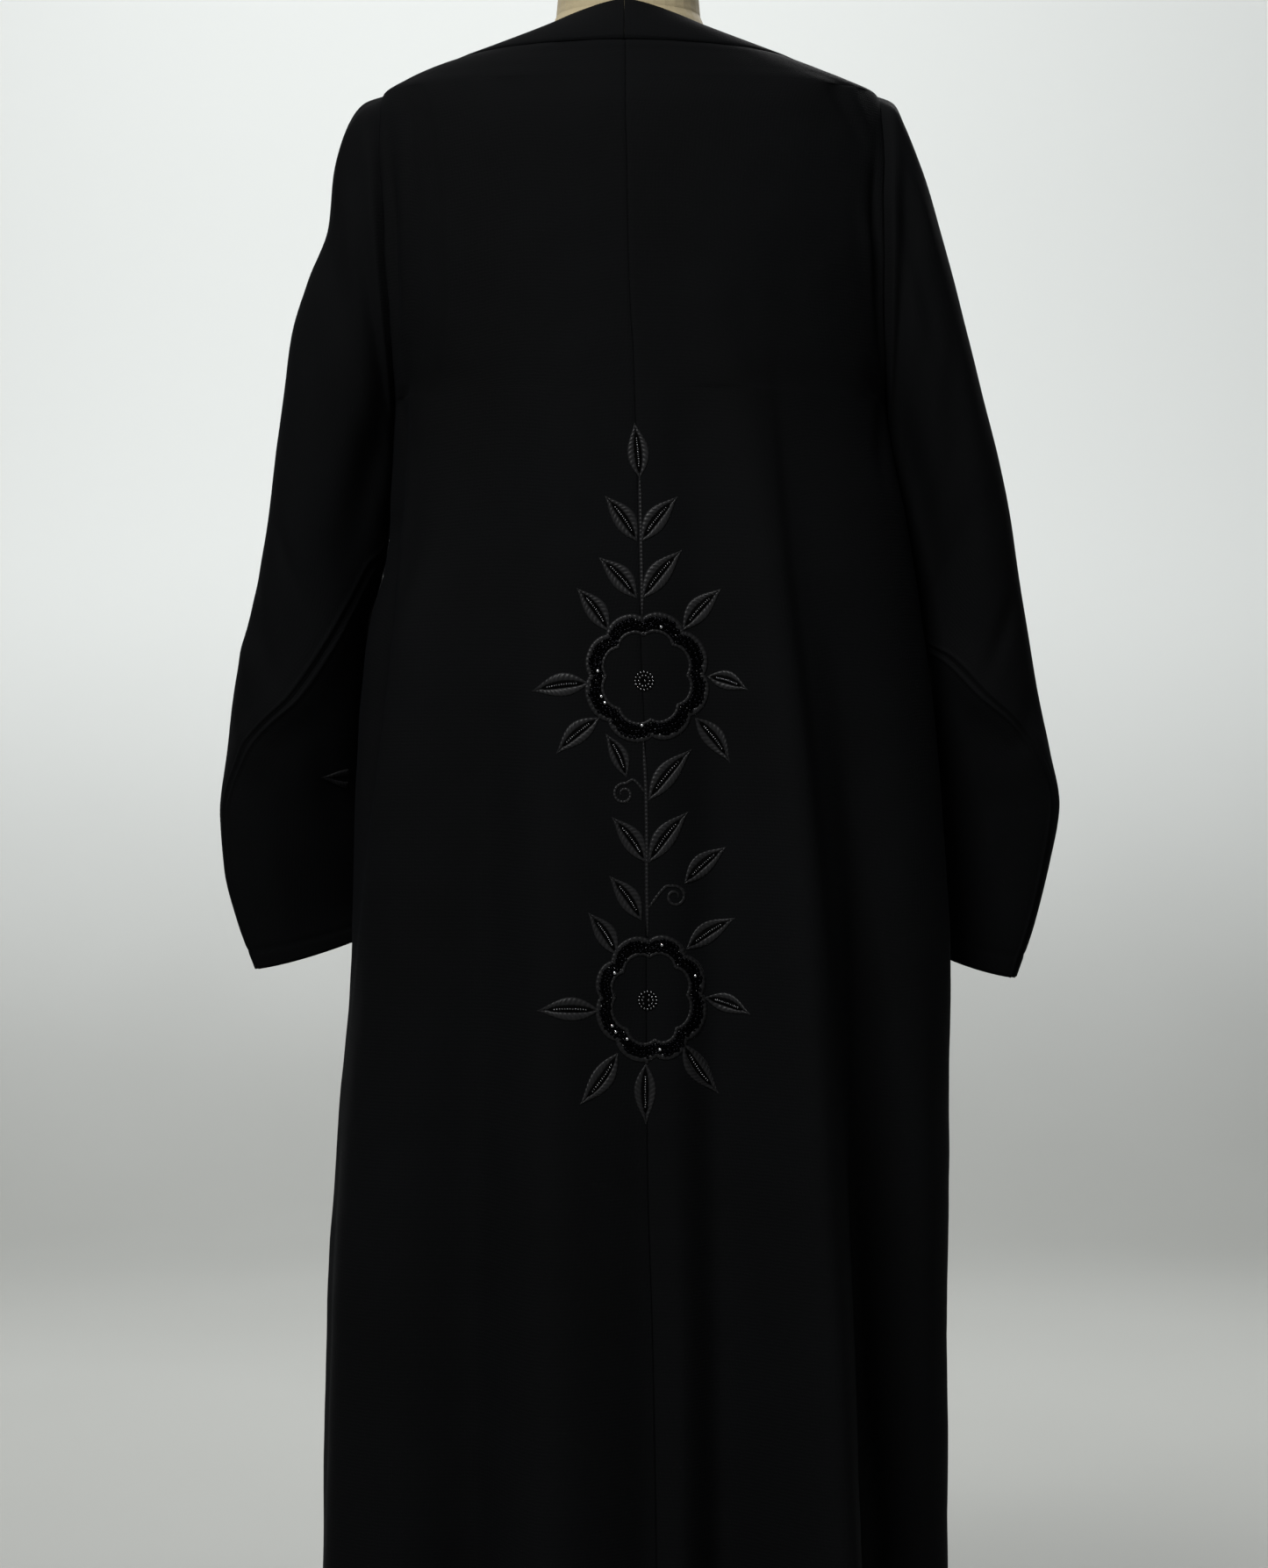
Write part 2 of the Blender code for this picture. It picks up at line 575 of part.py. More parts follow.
def stand(finish, collection):
    underside = FORM[0].height - SEAM_GAP
    turned("stand_pole", [
        (0, SOCKET_FLOOR + SEAM_GAP),
        (POLE_RADIUS, SOCKET_FLOOR + SEAM_GAP),
        (POLE_RADIUS, underside - FLANGE_THICKNESS),
        (FLANGE_RADIUS, underside - FLANGE_THICKNESS),
        (FLANGE_RADIUS, underside),
        (0, underside),
    ], 20, finish, collection)
    turned("stand_base", [
        (0, 0),
        (BASE_RADIUS, 0),
        (BASE_RADIUS, BASE_THICKNESS - 0.003),
        (BASE_RADIUS - 0.003, BASE_THICKNESS),
        (BOSS_RADIUS, BASE_THICKNESS),
        (BOSS_RADIUS, BOSS_HEIGHT),
        (POLE_RADIUS + SEAM_GAP, BOSS_HEIGHT),
        (POLE_RADIUS + SEAM_GAP, SOCKET_FLOOR),
        (0, SOCKET_FLOOR),
    ], 36, finish, collection)


def main():
    for old in list(bpy.data.objects):
        bpy.data.objects.remove(old)
    collection = bpy.data.collections.new("abaya_on_dress_form")
    bpy.context.scene.collection.children.link(collection)
    cloth = material("black_crepe", CLOTH_BLACK)
    cream = material("cream_form", FORM_CREAM)
    steel = material("stand_steel", STAND_STEEL)
    for side, word, rows in ((1, "left", LEFT_SLEEVE), (-1, "right", RIGHT_SLEEVE)):
        back_panel(side, f"back_{word}", cloth, collection)
        front_panel(side, f"front_{word}", cloth, collection)
        band(side, f"band_{word}", cloth, collection)
        sleeve(side, rows, f"sleeve_{word}", cloth, collection)
    dress_form("dress_form", cream, collection)
    stand(steel, collection)


main()
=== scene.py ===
# %% [markdown]
# # A long black abaya with an embroidered back
#
# The garment is an open-fronted cloak of black crepe: two backs sewn together down the middle, two
# fronts, a neck and front band, and two long set-in sleeves. It hangs on a cream dress form. A spray
# of flowers and leaves is stitched down the centre back in black satin thread, with seed beads and
# sequins. This lesson dresses the rigid model with real cloth surfaces, sewing and finishes.

# %% Load the rigid model
import bisect
import math
import random
from collections import namedtuple
from functools import lru_cache

import bmesh
import bpy
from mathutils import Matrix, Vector, noise
from mathutils.bvhtree import BVHTree


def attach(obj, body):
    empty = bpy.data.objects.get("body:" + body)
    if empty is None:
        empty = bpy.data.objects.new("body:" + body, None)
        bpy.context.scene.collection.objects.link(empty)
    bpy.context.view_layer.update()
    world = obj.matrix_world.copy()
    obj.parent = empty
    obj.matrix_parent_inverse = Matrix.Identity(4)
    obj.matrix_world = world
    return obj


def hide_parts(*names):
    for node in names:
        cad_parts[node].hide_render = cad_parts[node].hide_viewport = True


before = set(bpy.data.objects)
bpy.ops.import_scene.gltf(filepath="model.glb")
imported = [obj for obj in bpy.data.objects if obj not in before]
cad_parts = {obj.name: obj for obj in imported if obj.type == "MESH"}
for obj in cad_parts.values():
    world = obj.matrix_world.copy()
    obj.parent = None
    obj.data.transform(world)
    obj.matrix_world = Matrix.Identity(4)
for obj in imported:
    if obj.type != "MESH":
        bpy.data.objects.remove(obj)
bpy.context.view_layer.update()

# %% [markdown]
# ## The camera
#
# The picture is 1445 by 1787 pixels and shows the cloak's back from about hip height. The wearer
# faces -Y, so the camera stands behind, on +Y, and looks level along -Y. A pixel is 0.70 mm at the
# shoulder line, which with the distance gives the lens. The same numbers later turn a place in the
# picture into a place on the cloth.

# %% Camera
PICTURE_WIDE, PICTURE_HIGH = 1445, 1787
PIXEL = 0.0007
CAMERA_DISTANCE = 2.8
CAMERA_HEIGHT = 0.836
CENTRE_COLUMN = 716
SENSOR = 36.0

eye = Vector((-(PICTURE_WIDE / 2 - CENTRE_COLUMN) * PIXEL, CAMERA_DISTANCE, CAMERA_HEIGHT))
camera_data = bpy.data.cameras.new("camera")
camera_data.sensor_width = SENSOR
camera_data.lens = SENSOR * CAMERA_DISTANCE / (PIXEL * PICTURE_HIGH)
camera = bpy.data.objects.new("camera", camera_data)
camera.location = eye
camera.rotation_euler = (math.radians(90), 0, math.radians(180))
bpy.context.scene.collection.objects.link(camera)
bpy.context.scene.camera = camera
print("lens in millimetres:", round(camera_data.lens, 1))

# %% [markdown]
# ## Shader sums as Python
#
# A material is a graph of nodes, and a sum in it takes one Math node for each sign. Wrapping a socket
# in a small class lets the sums read as plain expressions, while every other node goes through one
# method that sets its settings first and then its values or links.

# %% A socket that can be added and multiplied
class Wire:
    """An output socket of one material's graph."""

    def __init__(self, tree, socket=None):
        self.tree = tree
        self.socket = socket

    def add(self, kind, settings=None, values=None, output=0):
        """Adds a node with its settings, values and links, and gives a wire from one of its outputs."""
        node = self.tree.nodes.new(kind)
        for name, value in (settings or {}).items():
            setattr(node, name, value)
        for name, value in (values or {}).items():
            if isinstance(value, Wire):
                self.tree.links.new(value.socket, node.inputs[name])
            else:
                node.inputs[name].default_value = value
        return Wire(self.tree, node.outputs[output])

    def sum(self, operation, first, second):
        return self.add("ShaderNodeMath", {"operation": operation}, {0: first, 1: second})

    def __add__(self, other):
        return self.sum("ADD", self, other)

    def __radd__(self, other):
        return self.sum("ADD", other, self)

    def __rsub__(self, other):
        return self.sum("SUBTRACT", other, self)

    def __mul__(self, other):
        return self.sum("MULTIPLY", self, other)

    def __rmul__(self, other):
        return self.sum("MULTIPLY", other, self)

    def places(self):
        """The places of the piece's points, in metres."""
        return self.add("ShaderNodeTexCoord", None, None, 3)

    def noise(self, scale, detail=2.0, roughness=0.5):
        values = {"Vector": self, "Scale": scale, "Detail": detail, "Roughness": roughness}
        return self.add("ShaderNodeTexNoise", None, values)

    def between(self, first, second):
        """The colour between two colours, at this share."""
        values = {"Factor": self, "A": (*first, 1), "B": (*second, 1)}
        return self.add("ShaderNodeMix", {"data_type": "RGBA"}, values, 2)


def start_material(name):
    """A new material, its shader, and a wire to begin its graph with."""
    made = bpy.data.materials.new(name)
    made.use_nodes = True
    return made, made.node_tree.nodes["Principled BSDF"], Wire(made.node_tree)


def feed(shader, **sockets):
    """Sets or links sockets of the shader. Their names have underscores for spaces."""
    for name, value in sockets.items():
        socket = shader.inputs[name.replace("_", " ")]
        if isinstance(value, Wire):
            value.tree.links.new(value.socket, socket)
        else:
            socket.default_value = value


def bump(height, depth):
    """A normal from a height wire from 0 to 1, whose full rise is depth in metres."""
    return height.add("ShaderNodeBump", None, {"Height": height, "Distance": depth, "Strength": 1.0})


# %% [markdown]
# ## Black crepe
#
# Crepe is woven from hard-twisted yarn, which shrinks into a fine pebbled face with almost no shine.
# The face here is two crossed ribs in the cloth's own map, in metres, broken up by a noise as the
# twist breaks up the real one. The black has a slow change of tone. It gives back so little light
# that the folds show only by how far each side of them turns to the lamp, so its mirror light and
# its sheen, the glow of short fibres at a glancing angle, are both kept very low.
#
# A wave texture turns through 20 radians in each unit at a scale of 1, which gives the scale for a
# rib of any width.

# %% Crepe
CREPE_RIB = 0.002639
WAVE_RADIANS = 20


def rib_scale(width):
    """A wave texture's scale for ribs of this width in metres."""
    return 2 * math.pi / (width * WAVE_RADIANS)


def ribs(cloth, direction, width, **more):
    """Ribs of this width across a map, 0 in the furrows and 1 on top."""
    values = {name.replace("_", " "): value for name, value in more.items()}
    values |= {"Vector": cloth, "Scale": rib_scale(width)}
    return cloth.add("ShaderNodeTexWave", {"bands_direction": direction}, values)


def crepe(name, warm, cool):
    made, shader, graph = start_material(name)
    cloth = graph.add("ShaderNodeUVMap", {"uv_map": "cloth_metres"})
    place = graph.places()
    warp = ribs(cloth, "X", CREPE_RIB, Distortion=3.0, Detail=2.0, Detail_Scale=2.0)
    weft = ribs(cloth, "Y", CREPE_RIB, Distortion=3.0, Detail=2.0, Detail_Scale=2.0)
    pebble = place.noise(900, 3.0, 0.6)
    slub = cloth.noise(60, 2.0, 0.5)
    tone = place.noise(5.5, 3.0, 0.55)
    face = warp * 0.3 + weft * 0.3 + pebble * 0.8 + slub * 0.15
    feed(
        shader,
        Base_Color=(tone * 0.8 + pebble * 0.2).between(warm, cool),
        Roughness=0.60 + 0.2 * tone + 0.1 * pebble,
        Specular_IOR_Level=0.015,
        Sheen_Weight=0.004,
        Sheen_Roughness=0.45,
        Sheen_Tint=(0.75, 0.82, 1.0, 1.0),
        Normal=bump(face, 0.00022),
    )
    return made


crepe_black = crepe("black_crepe_cloth", (0.0042, 0.0042, 0.0041), (0.0068, 0.0073, 0.0081))
print("crepe ribs to a centimetre:", round(0.01 / CREPE_RIB, 1))

# %% [markdown]
# ## Satin thread, beads and sequins
#
# Satin stitch is a row of threads laid side by side, which bunch into small ribs. A wave in the
# stitching's own map makes the ribs, turned so that they cross the leaf at a slant and the cord
# straight over. The seed beads are dark glass with a metal lining, so they are small dull mirrors.
# The sequins are thin black foil, and the cut glass stones are bright and silvered behind. Under the
# beads and sequins lies a near-black bed, which is painted shade for the shadow between them.

# %% Stitching materials
SATIN_RIB = 0.0031416


def satin(name, shade, slant):
    """Satin stitch whose ribs lie at a slant, in degrees, to the strip's long way."""
    made, shader, graph = start_material(name)
    map_metres = graph.add("ShaderNodeUVMap", {"uv_map": "cloth_metres"})
    turned = graph.add("ShaderNodeMapping", None, {
        "Vector": map_metres, "Rotation": (0, 0, math.radians(slant)),
    })
    threads = ribs(turned, "X", SATIN_RIB, Distortion=0.6, Detail=1.0)
    place = graph.places()
    tone = place.noise(240, 2.0, 0.5)
    feed(
        shader,
        Base_Color=(threads * 0.5 + tone * 0.5).between([0.4 * c for c in shade], [1.5 * c for c in shade]),
        Roughness=0.52 - 0.14 * threads,
        Specular_IOR_Level=0.25,
        Sheen_Weight=0.02,
        Sheen_Roughness=0.35,
        Normal=bump(threads + tone * 0.4, 0.0002),
    )
    return made


def mirror_finish(name, shade, roughness, coat):
    """Silvered glass or foil."""
    made, shader, graph = start_material(name)
    place = graph.places()
    lustre = place.noise(350, 1.0, 0.5)
    feed(
        shader,
        Base_Color=lustre.between([0.5 * c for c in shade], [1.4 * c for c in shade]),
        Metallic=1.0,
        Roughness=roughness + 0.1 * lustre,
        Coat_Weight=coat,
        Coat_Roughness=0.10,
    )
    return made


def painted_shade_thread_finish(name):
    """A near-black bed under the beads and sequins: painted shade for the shadow between them."""
    made, shader, graph = start_material(name)
    place = graph.places()
    bed_grain = place.noise(1600, 2.0, 0.6)
    feed(
        shader,
        Base_Color=bed_grain.between((0.0006, 0.0006, 0.0006), (0.0022, 0.0022, 0.0022)),
        Roughness=0.8 + 0.1 * bed_grain,
        Specular_IOR_Level=0.02,
        Normal=bump(bed_grain, 0.0002),
    )
    return made


thread_black = satin("satin_thread", (0.0125, 0.0125, 0.0133), 58)
thread_cord = satin("satin_cord", (0.0085, 0.0085, 0.0092), 90)
bead_dark = mirror_finish("seed_bead_glass", (0.24, 0.24, 0.25), 0.20, 0.3)
sequin_dark = mirror_finish("sequin_foil", (0.0050, 0.0050, 0.0058), 0.18, 0.0)
crystal = mirror_finish("cut_glass", (0.90, 0.90, 0.92), 0.16, 0.6)
# The near-black bed is painted shade, standing for the shadow in the leaf veins, bead discs and sequin
# bands.
painted_shade_black = painted_shade_thread_finish("painted_shade_black_thread")
print("ribs to a centimetre of satin stitch:", round(0.01 / SATIN_RIB, 1))

# %% [markdown]
# ## The dress form and its stand
#
# The form is a hard shell covered in cream jersey, of which only the neck shows. The stand is a tube
# and a round plate in satin grey paint. Both keep the rigid model's shape and only get a finish, put
# in the material slots that they already have.

# %% Finishes for the form and the stand
JERSEY_COURSE = 0.007854


def jersey(name):
    made, shader, graph = start_material(name)
    place = graph.places()
    courses = ribs(place, "Z", JERSEY_COURSE, Distortion=1.5, Detail=2.0, Detail_Scale=3.0)
    fuzz = place.noise(700, 3.0, 0.6)
    tone = place.noise(14, 3.0, 0.5)
    feed(
        shader,
        Base_Color=(tone * 0.6 + fuzz * 0.4).between((0.42, 0.345, 0.20), (0.60, 0.51, 0.32)),
        Roughness=0.78 + 0.12 * fuzz,
        Specular_IOR_Level=0.3,
        Sheen_Weight=0.2,
        Normal=bump(courses * 0.5 + fuzz * 0.6, 0.0003),
    )
    return made


def grey_paint(name):
    made, shader, graph = start_material(name)
    place = graph.places()
    peel = place.noise(420, 2.0, 0.5)
    dust = place.noise(9, 4.0, 0.6)
    feed(
        shader,
        Base_Color=dust.between((0.26, 0.26, 0.27), (0.38, 0.38, 0.39)),
        Metallic=0.15,
        Roughness=0.34 + 0.25 * dust,
        Coat_Weight=0.25,
        Normal=bump(peel, 0.00008),
    )
    return made


def wear(node, finish):
    """Puts a finish in every material slot of a carried-over piece."""
    for material_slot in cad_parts[node].material_slots:
        material_slot.material = finish


wear("dress_form", jersey("cream_jersey"))
stand_paint = grey_paint("satin_grey_paint")
for node in ("stand_pole", "stand_base"):
    wear(node, stand_paint)
print("finished in place: dress_form, stand_pole, stand_base")

# %% [markdown]
# ## The garment as one surface
#
# Every panel is cut from the same imagined surface. Ovals at a few heights say how wide and how deep
# the garment hangs, a smooth curve fills in between them, and long folds push the surface in and out.
# A place on it is a pair: quarter turns round the body from the centre back, and a height. The rows
# are the rigid model's own, so a panel made here lies where its plain twin lies, on a finer grid. The
# left and the right side of the back each have one sharp fold whose edge shows as a line in the
# picture, so each has a table of its own.

# %% Sections and folds
WALL = 0.0012
SEAM_GAP = 0.00005
ARMHOLE_TUCK = 0.0008
HEM_HEIGHT = 0.035
UNDERARM_HEIGHT = 1.140
SHOULDER_TIP_HEIGHT = 1.384
ARMHOLE_HALF_DEPTH = 0.046
ARMHOLE_ROWS = 10
BAND_SEAM_AT_BACK = 1.4132
BAND_SEAM_AT_SHOULDER = 1.4080
BAND_TOP_AT_BACK = 1.448
BAND_WIDTH = 0.044
BAND_SHOULDER_X = 0.084
BAND_TOP_SLOPE = 0.33
BAND_BACK_DEPTH = 0.060
FRONT_OPENING_AT_NECK = 0.003
FRONT_OPENING_AT_HEM = 0.012

# A row is how far the surface reaches from the middle to each side, back and front at a height, where
# the centre back seam lies, and how square the oval is: 2 is round.
Section = namedtuple("Section", "height left right back front seam_x square")
BODY = [
    Section(0.0350, 0.2480, 0.2480, 0.192, 0.186, -0.023, 2.35),
    Section(0.2100, 0.2430, 0.2500, 0.186, 0.181, -0.022, 2.35),
    Section(0.4100, 0.2400, 0.2530, 0.176, 0.174, -0.019, 2.35),
    Section(0.5500, 0.2320, 0.2540, 0.167, 0.168, -0.015, 2.35),
    Section(0.7000, 0.2195, 0.2550, 0.157, 0.162, -0.014, 2.35),
    Section(0.8300, 0.2185, 0.2480, 0.147, 0.156, -0.014, 2.35),
    Section(0.9400, 0.2120, 0.2370, 0.137, 0.151, -0.010, 2.30),
    Section(1.0400, 0.1910, 0.2220, 0.128, 0.147, -0.008, 2.15),
    Section(1.1400, 0.1870, 0.2060, 0.120, 0.142, -0.005, 2.00),
    Section(1.1700, 0.1930, 0.2105, 0.118, 0.140, -0.004, 2.00),
    Section(1.2000, 0.2000, 0.2145, 0.116, 0.137, -0.002, 2.00),
    Section(1.2600, 0.2100, 0.2205, 0.113, 0.129, 0.000, 2.00),
    Section(1.3200, 0.2115, 0.2180, 0.107, 0.114, 0.001, 2.00),
    Section(1.3600, 0.2040, 0.2085, 0.101, 0.099, 0.002, 2.00),
    Section(1.3840, 0.1955, 0.1980, 0.093, 0.087, 0.002, 2.00),
    Section(1.3939, 0.1800, 0.1773, 0.089, 0.081, 0.002, 2.00),
    Section(1.3994, 0.1687, 0.1628, 0.087, 0.078, 0.002, 2.00),
    Section(1.4049, 0.1546, 0.1480, 0.085, 0.074, 0.002, 2.00),
    Section(1.4094, 0.1396, 0.1346, 0.084, 0.070, 0.002, 2.00),
    Section(1.4139, 0.1240, 0.1190, 0.081, 0.065, 0.003, 2.00),
    Section(1.4184, 0.1090, 0.1050, 0.078, 0.060, 0.003, 2.00),
    Section(1.4240, 0.0850, 0.0830, 0.072, 0.048, 0.003, 2.00),
]

# A fold starts at a height and grows down to the hem, and runs between two places in quarter turns.
Fold = namedtuple("Fold", "start_at hem_at starts stands_out back_width front_width power")
FOLDS = [
    Fold(0.62, 0.72, 1.10, 0.012, 0.10, 0.09, 1.2),
    Fold(0.355, 0.39, 1.15, -0.024, 0.09, 0.10, 1.1),
    Fold(0.183, 0.178, 1.25, 0.018, 0.09, 0.08, 1.3),
    Fold(0.00, 0.01, 0.80, -0.008, 0.05, 0.05, 1.0),
    Fold(-0.14, -0.16, 1.22, -0.022, 0.08, 0.09, 1.2),
    Fold(-0.26, -0.36, 1.28, 0.028, 0.09, 0.075, 1.1),
    Fold(-0.44, -0.56, 1.00, -0.034, 0.070, 0.12, 1.0),
    Fold(-0.80, -0.86, 1.00, 0.006, 0.10, 0.08, 1.0),
    Fold(1.18, 1.20, 0.66, -0.016, 0.09, 0.09, 1.1),
    Fold(1.40, 1.38, 1.10, 0.022, 0.11, 0.10, 1.2),
    Fold(1.62, 1.60, 1.08, -0.014, 0.09, 0.09, 1.2),
    Fold(-1.22, -1.22, 0.66, -0.016, 0.09, 0.09, 1.1),
    Fold(-1.42, -1.44, 1.12, 0.020, 0.10, 0.11, 1.2),
    Fold(-1.64, -1.64, 1.06, -0.014, 0.09, 0.08, 1.2),
]

TUCK_AT = 0.73
TUCK_SLANT = 0.55
TUCK_WIDTH = 0.07
TUCK_DEPTH = 0.012
TUCK_HEIGHT = 0.90
TUCK_HALF_LENGTH = 0.20

# A side's sharp fold edge: how far out in x it lies, how far it stands out, and the drop beyond it.
Edge = namedtuple("Edge", "height x stands_out falls")
FOLD_EDGES = {
    1: [
        Edge(0.600, 0.2220, 0.000, 0.000),
        Edge(0.730, 0.2080, 0.004, 0.008),
        Edge(0.777, 0.2030, 0.006, 0.018),
        Edge(0.848, 0.1935, 0.008, 0.028),
        Edge(0.943, 0.1830, 0.008, 0.034),
        Edge(1.027, 0.1775, 0.006, 0.028),
        Edge(1.062, 0.1730, 0.004, 0.018),
        Edge(1.150, 0.1700, 0.000, 0.000),
    ],
    -1: [
        Edge(0.000, 0.197, 0.006, 0.022),
        Edge(0.264, 0.182, 0.006, 0.022),
        Edge(0.384, 0.172, 0.006, 0.021),
        Edge(0.572, 0.160, 0.006, 0.018),
        Edge(0.832, 0.138, 0.004, 0.011),
        Edge(1.030, 0.116, 0.002, 0.004),
        Edge(1.180, 0.105, 0.000, 0.000),
    ],
}
EDGE_SPREAD = 0.034
EDGE_DROP = {1: 0.0030, -1: 0.0080}
EDGE_RECOVERY = {1: 1.0, -1: 0.085}
EDGE_ROUND_THE_SIDE = 0.3
BACK_FOLD_GAIN = 2.1
BACK_FOLDS_WITHIN = 0.6
print(len(BODY), "sections and", len(FOLDS), "folds")

# %% [markdown]
# ## Smooth curves through a table
#
# Each column of a table is a curve over the height. A cubic that keeps its slope at every row and
# never overshoots it gives cloth without bumps between the rows. The slopes are worked out once, and
# the values at one height are remembered, because a whole row of points asks for the same ones.

# %% A curve through a table's column
def smooth_curve(keys, values):
    """A function of the key, on a cubic through the values that never overshoots them."""
    steps = [b - a for a, b in zip(keys, keys[1:])]
    slopes = [(b - a) / s for a, b, s in zip(values, values[1:], steps)]
    tangents = [slopes[0]]
    for before, after in zip(slopes, slopes[1:]):
        tangents.append(0.0 if before * after <= 0 else 2 * before * after / (before + after))
    tangents.append(slopes[-1])

    def value(at):
        at = min(max(at, keys[0]), keys[-1])
        i = min(bisect.bisect_right(keys, at) - 1, len(steps) - 1)
        t = (at - keys[i]) / steps[i]
        rise = values[i + 1] - values[i]
        start, end = tangents[i] * steps[i], tangents[i + 1] * steps[i]
        bend = 3 * rise - 2 * start - end
        return values[i] + t * (start + t * (bend + t * (start + end - 2 * rise)))

    return value


def table_curves(rows):
    """A curve over the height for every other column of a table."""
    heights = [row.height for row in rows]
    names = rows[0]._fields[1:]
    return {name: smooth_curve(heights, [getattr(row, name) for row in rows]) for name in names}


body_curves = table_curves(BODY)
edge_curves = {side: table_curves(rows) for side, rows in FOLD_EDGES.items()}


@lru_cache(maxsize=None)
def section_at(height):
    return Section(height, **{name: curve(height) for name, curve in body_curves.items()})


@lru_cache(maxsize=None)
def fold_edge_at(side, height):
    return Edge(height, **{name: curve(height) for name, curve in edge_curves[side].items()})


def armhole_depth(height):
    """Half the armhole's depth at a height, and 0 below the underarm and above the shoulder tip."""
    middle = (UNDERARM_HEIGHT + SHOULDER_TIP_HEIGHT) / 2
    half = (SHOULDER_TIP_HEIGHT - UNDERARM_HEIGHT) / 2
    return ARMHOLE_HALF_DEPTH * math.sqrt(max(0.0, 1 - ((height - middle) / half) ** 2))


waist = section_at(0.94)
print("garment width at 0.94 m:", round(waist.left + waist.right, 3))

# %% [markdown]
# ## Creases that only the fine cloth has
#
# Between the long folds the cloth has small soft hollows: where the sleeve drags on the armhole, where
# the back falls from the shoulder, and here and there down the skirt. Each is a short line in quarter
# turns and heights with its own depth and width, and no two are alike. A slow noise under them keeps
# any stretch of cloth from being perfectly even. Near a seam the surface dips, as pressed cloth does.

# %% Creases
Crease = namedtuple("Crease", "around height to_around to_height rise width")
BACK_CREASES = [
    Crease(0.90, 1.35, 0.97, 1.16, -0.0060, 0.013),
    Crease(0.78, 1.36, 0.90, 1.24, 0.0022, 0.012),
    Crease(0.90, 1.18, 0.70, 1.08, -0.0025, 0.014),
    Crease(0.95, 1.12, 0.82, 0.98, 0.0022, 0.014),
    Crease(0.40, 1.33, 0.52, 1.12, -0.0014, 0.022),
    Crease(0.30, 1.00, 0.36, 0.72, -0.0020, 0.018),
    Crease(0.55, 0.80, 0.60, 0.52, 0.0020, 0.016),
    Crease(0.47, 0.60, 0.50, 0.20, -0.0022, 0.018),
    Crease(0.14, 0.52, 0.10, 0.12, 0.0020, 0.016),
    Crease(0.27, 0.40, 0.29, 0.08, -0.0018, 0.014),
    Crease(0.84, 0.62, 0.86, 0.15, -0.0030, 0.018),
    Crease(-0.62, 1.40, -0.92, 1.345, 0.0014, 0.010),
    Crease(-0.58, 1.392, -0.90, 1.330, -0.0038, 0.008),
    Crease(-0.93, 1.34, -0.98, 1.15, -0.0060, 0.012),
    Crease(-0.84, 1.31, -0.93, 1.20, 0.0020, 0.012),
    Crease(-0.90, 1.16, -0.72, 1.06, -0.0026, 0.014),
    Crease(-0.36, 1.32, -0.42, 1.10, 0.0014, 0.022),
    Crease(-0.08, 0.60, -0.07, 0.22, 0.0026, 0.013),
    Crease(-0.20, 0.98, -0.24, 0.60, -0.0020, 0.018),
    Crease(-0.48, 0.84, -0.56, 0.40, -0.0026, 0.013),
    Crease(-0.66, 0.74, -0.70, 0.20, 0.0026, 0.017),
    Crease(-0.30, 0.44, -0.33, 0.08, 0.0020, 0.013),
    Crease(-0.86, 0.60, -0.90, 0.16, -0.0028, 0.017),
    Crease(-0.18, 0.34, -0.20, 0.06, -0.0020, 0.014),
]
FRONT_CREASES = [
    Crease(1.06, 1.32, 1.16, 1.16, -0.0034, 0.011),
    Crease(1.10, 1.18, 1.34, 1.08, -0.0028, 0.014),
    Crease(1.22, 1.30, 1.30, 1.12, 0.0018, 0.018),
    Crease(1.28, 0.92, 1.30, 0.50, 0.0022, 0.018),
    Crease(1.52, 0.84, 1.50, 0.30, -0.0024, 0.017),
    Crease(1.72, 0.98, 1.70, 0.55, 0.0018, 0.018),
    Crease(1.36, 0.42, 1.37, 0.08, -0.0022, 0.014),
    Crease(-1.06, 1.31, -1.17, 1.15, -0.0034, 0.011),
    Crease(-1.12, 1.17, -1.36, 1.06, -0.0026, 0.014),
    Crease(-1.26, 0.96, -1.29, 0.46, 0.0022, 0.017),
    Crease(-1.50, 0.78, -1.53, 0.26, -0.0024, 0.017),
    Crease(-1.74, 0.92, -1.71, 0.50, 0.0018, 0.018),
    Crease(-1.62, 0.40, -1.60, 0.08, 0.0022, 0.014),
]
QUARTER_LENGTH = 0.30
SEAM_DIP = 0.0006
SEAM_DIP_WIDTH = 0.0022
WAVER = 0.0016
CREASE_OVERRUN = 0.15
CREASE_SPREAD = 3


def one_crease(crease, run, way):
    """A crease's rise, from its run and the way to the place from its start, both flat in metres."""
    length = math.hypot(*run)
    share = (way[0] * run[0] + way[1] * run[1]) / length**2
    across = (way[0] * run[1] - way[1] * run[0]) / length
    if not -CREASE_OVERRUN < share < 1 + CREASE_OVERRUN or abs(across) > CREASE_SPREAD * crease.width:
        return 0.0
    fade = math.sin(math.pi * (share + CREASE_OVERRUN) / (1 + 2 * CREASE_OVERRUN)) ** 2
    return crease.rise * fade * math.exp(-((across / crease.width) ** 2))


def crease_rise(creases, around, height):
    """The rise of all creases at a place, each fading towards its two ends."""
    total = 0.0
    for crease in creases:
        if around * crease.around >= 0:
            run = (crease.to_around - crease.around) * QUARTER_LENGTH, crease.to_height - crease.height
            way = (around - crease.around) * QUARTER_LENGTH, height - crease.height
            total += one_crease(crease, run, way)
    return total


def waver(point, size, seed):
    """A slow unevenness, from -1 to 1."""
    return noise.noise(Vector((point[0] / size, point[1] / size, point[2] / size + seed)))


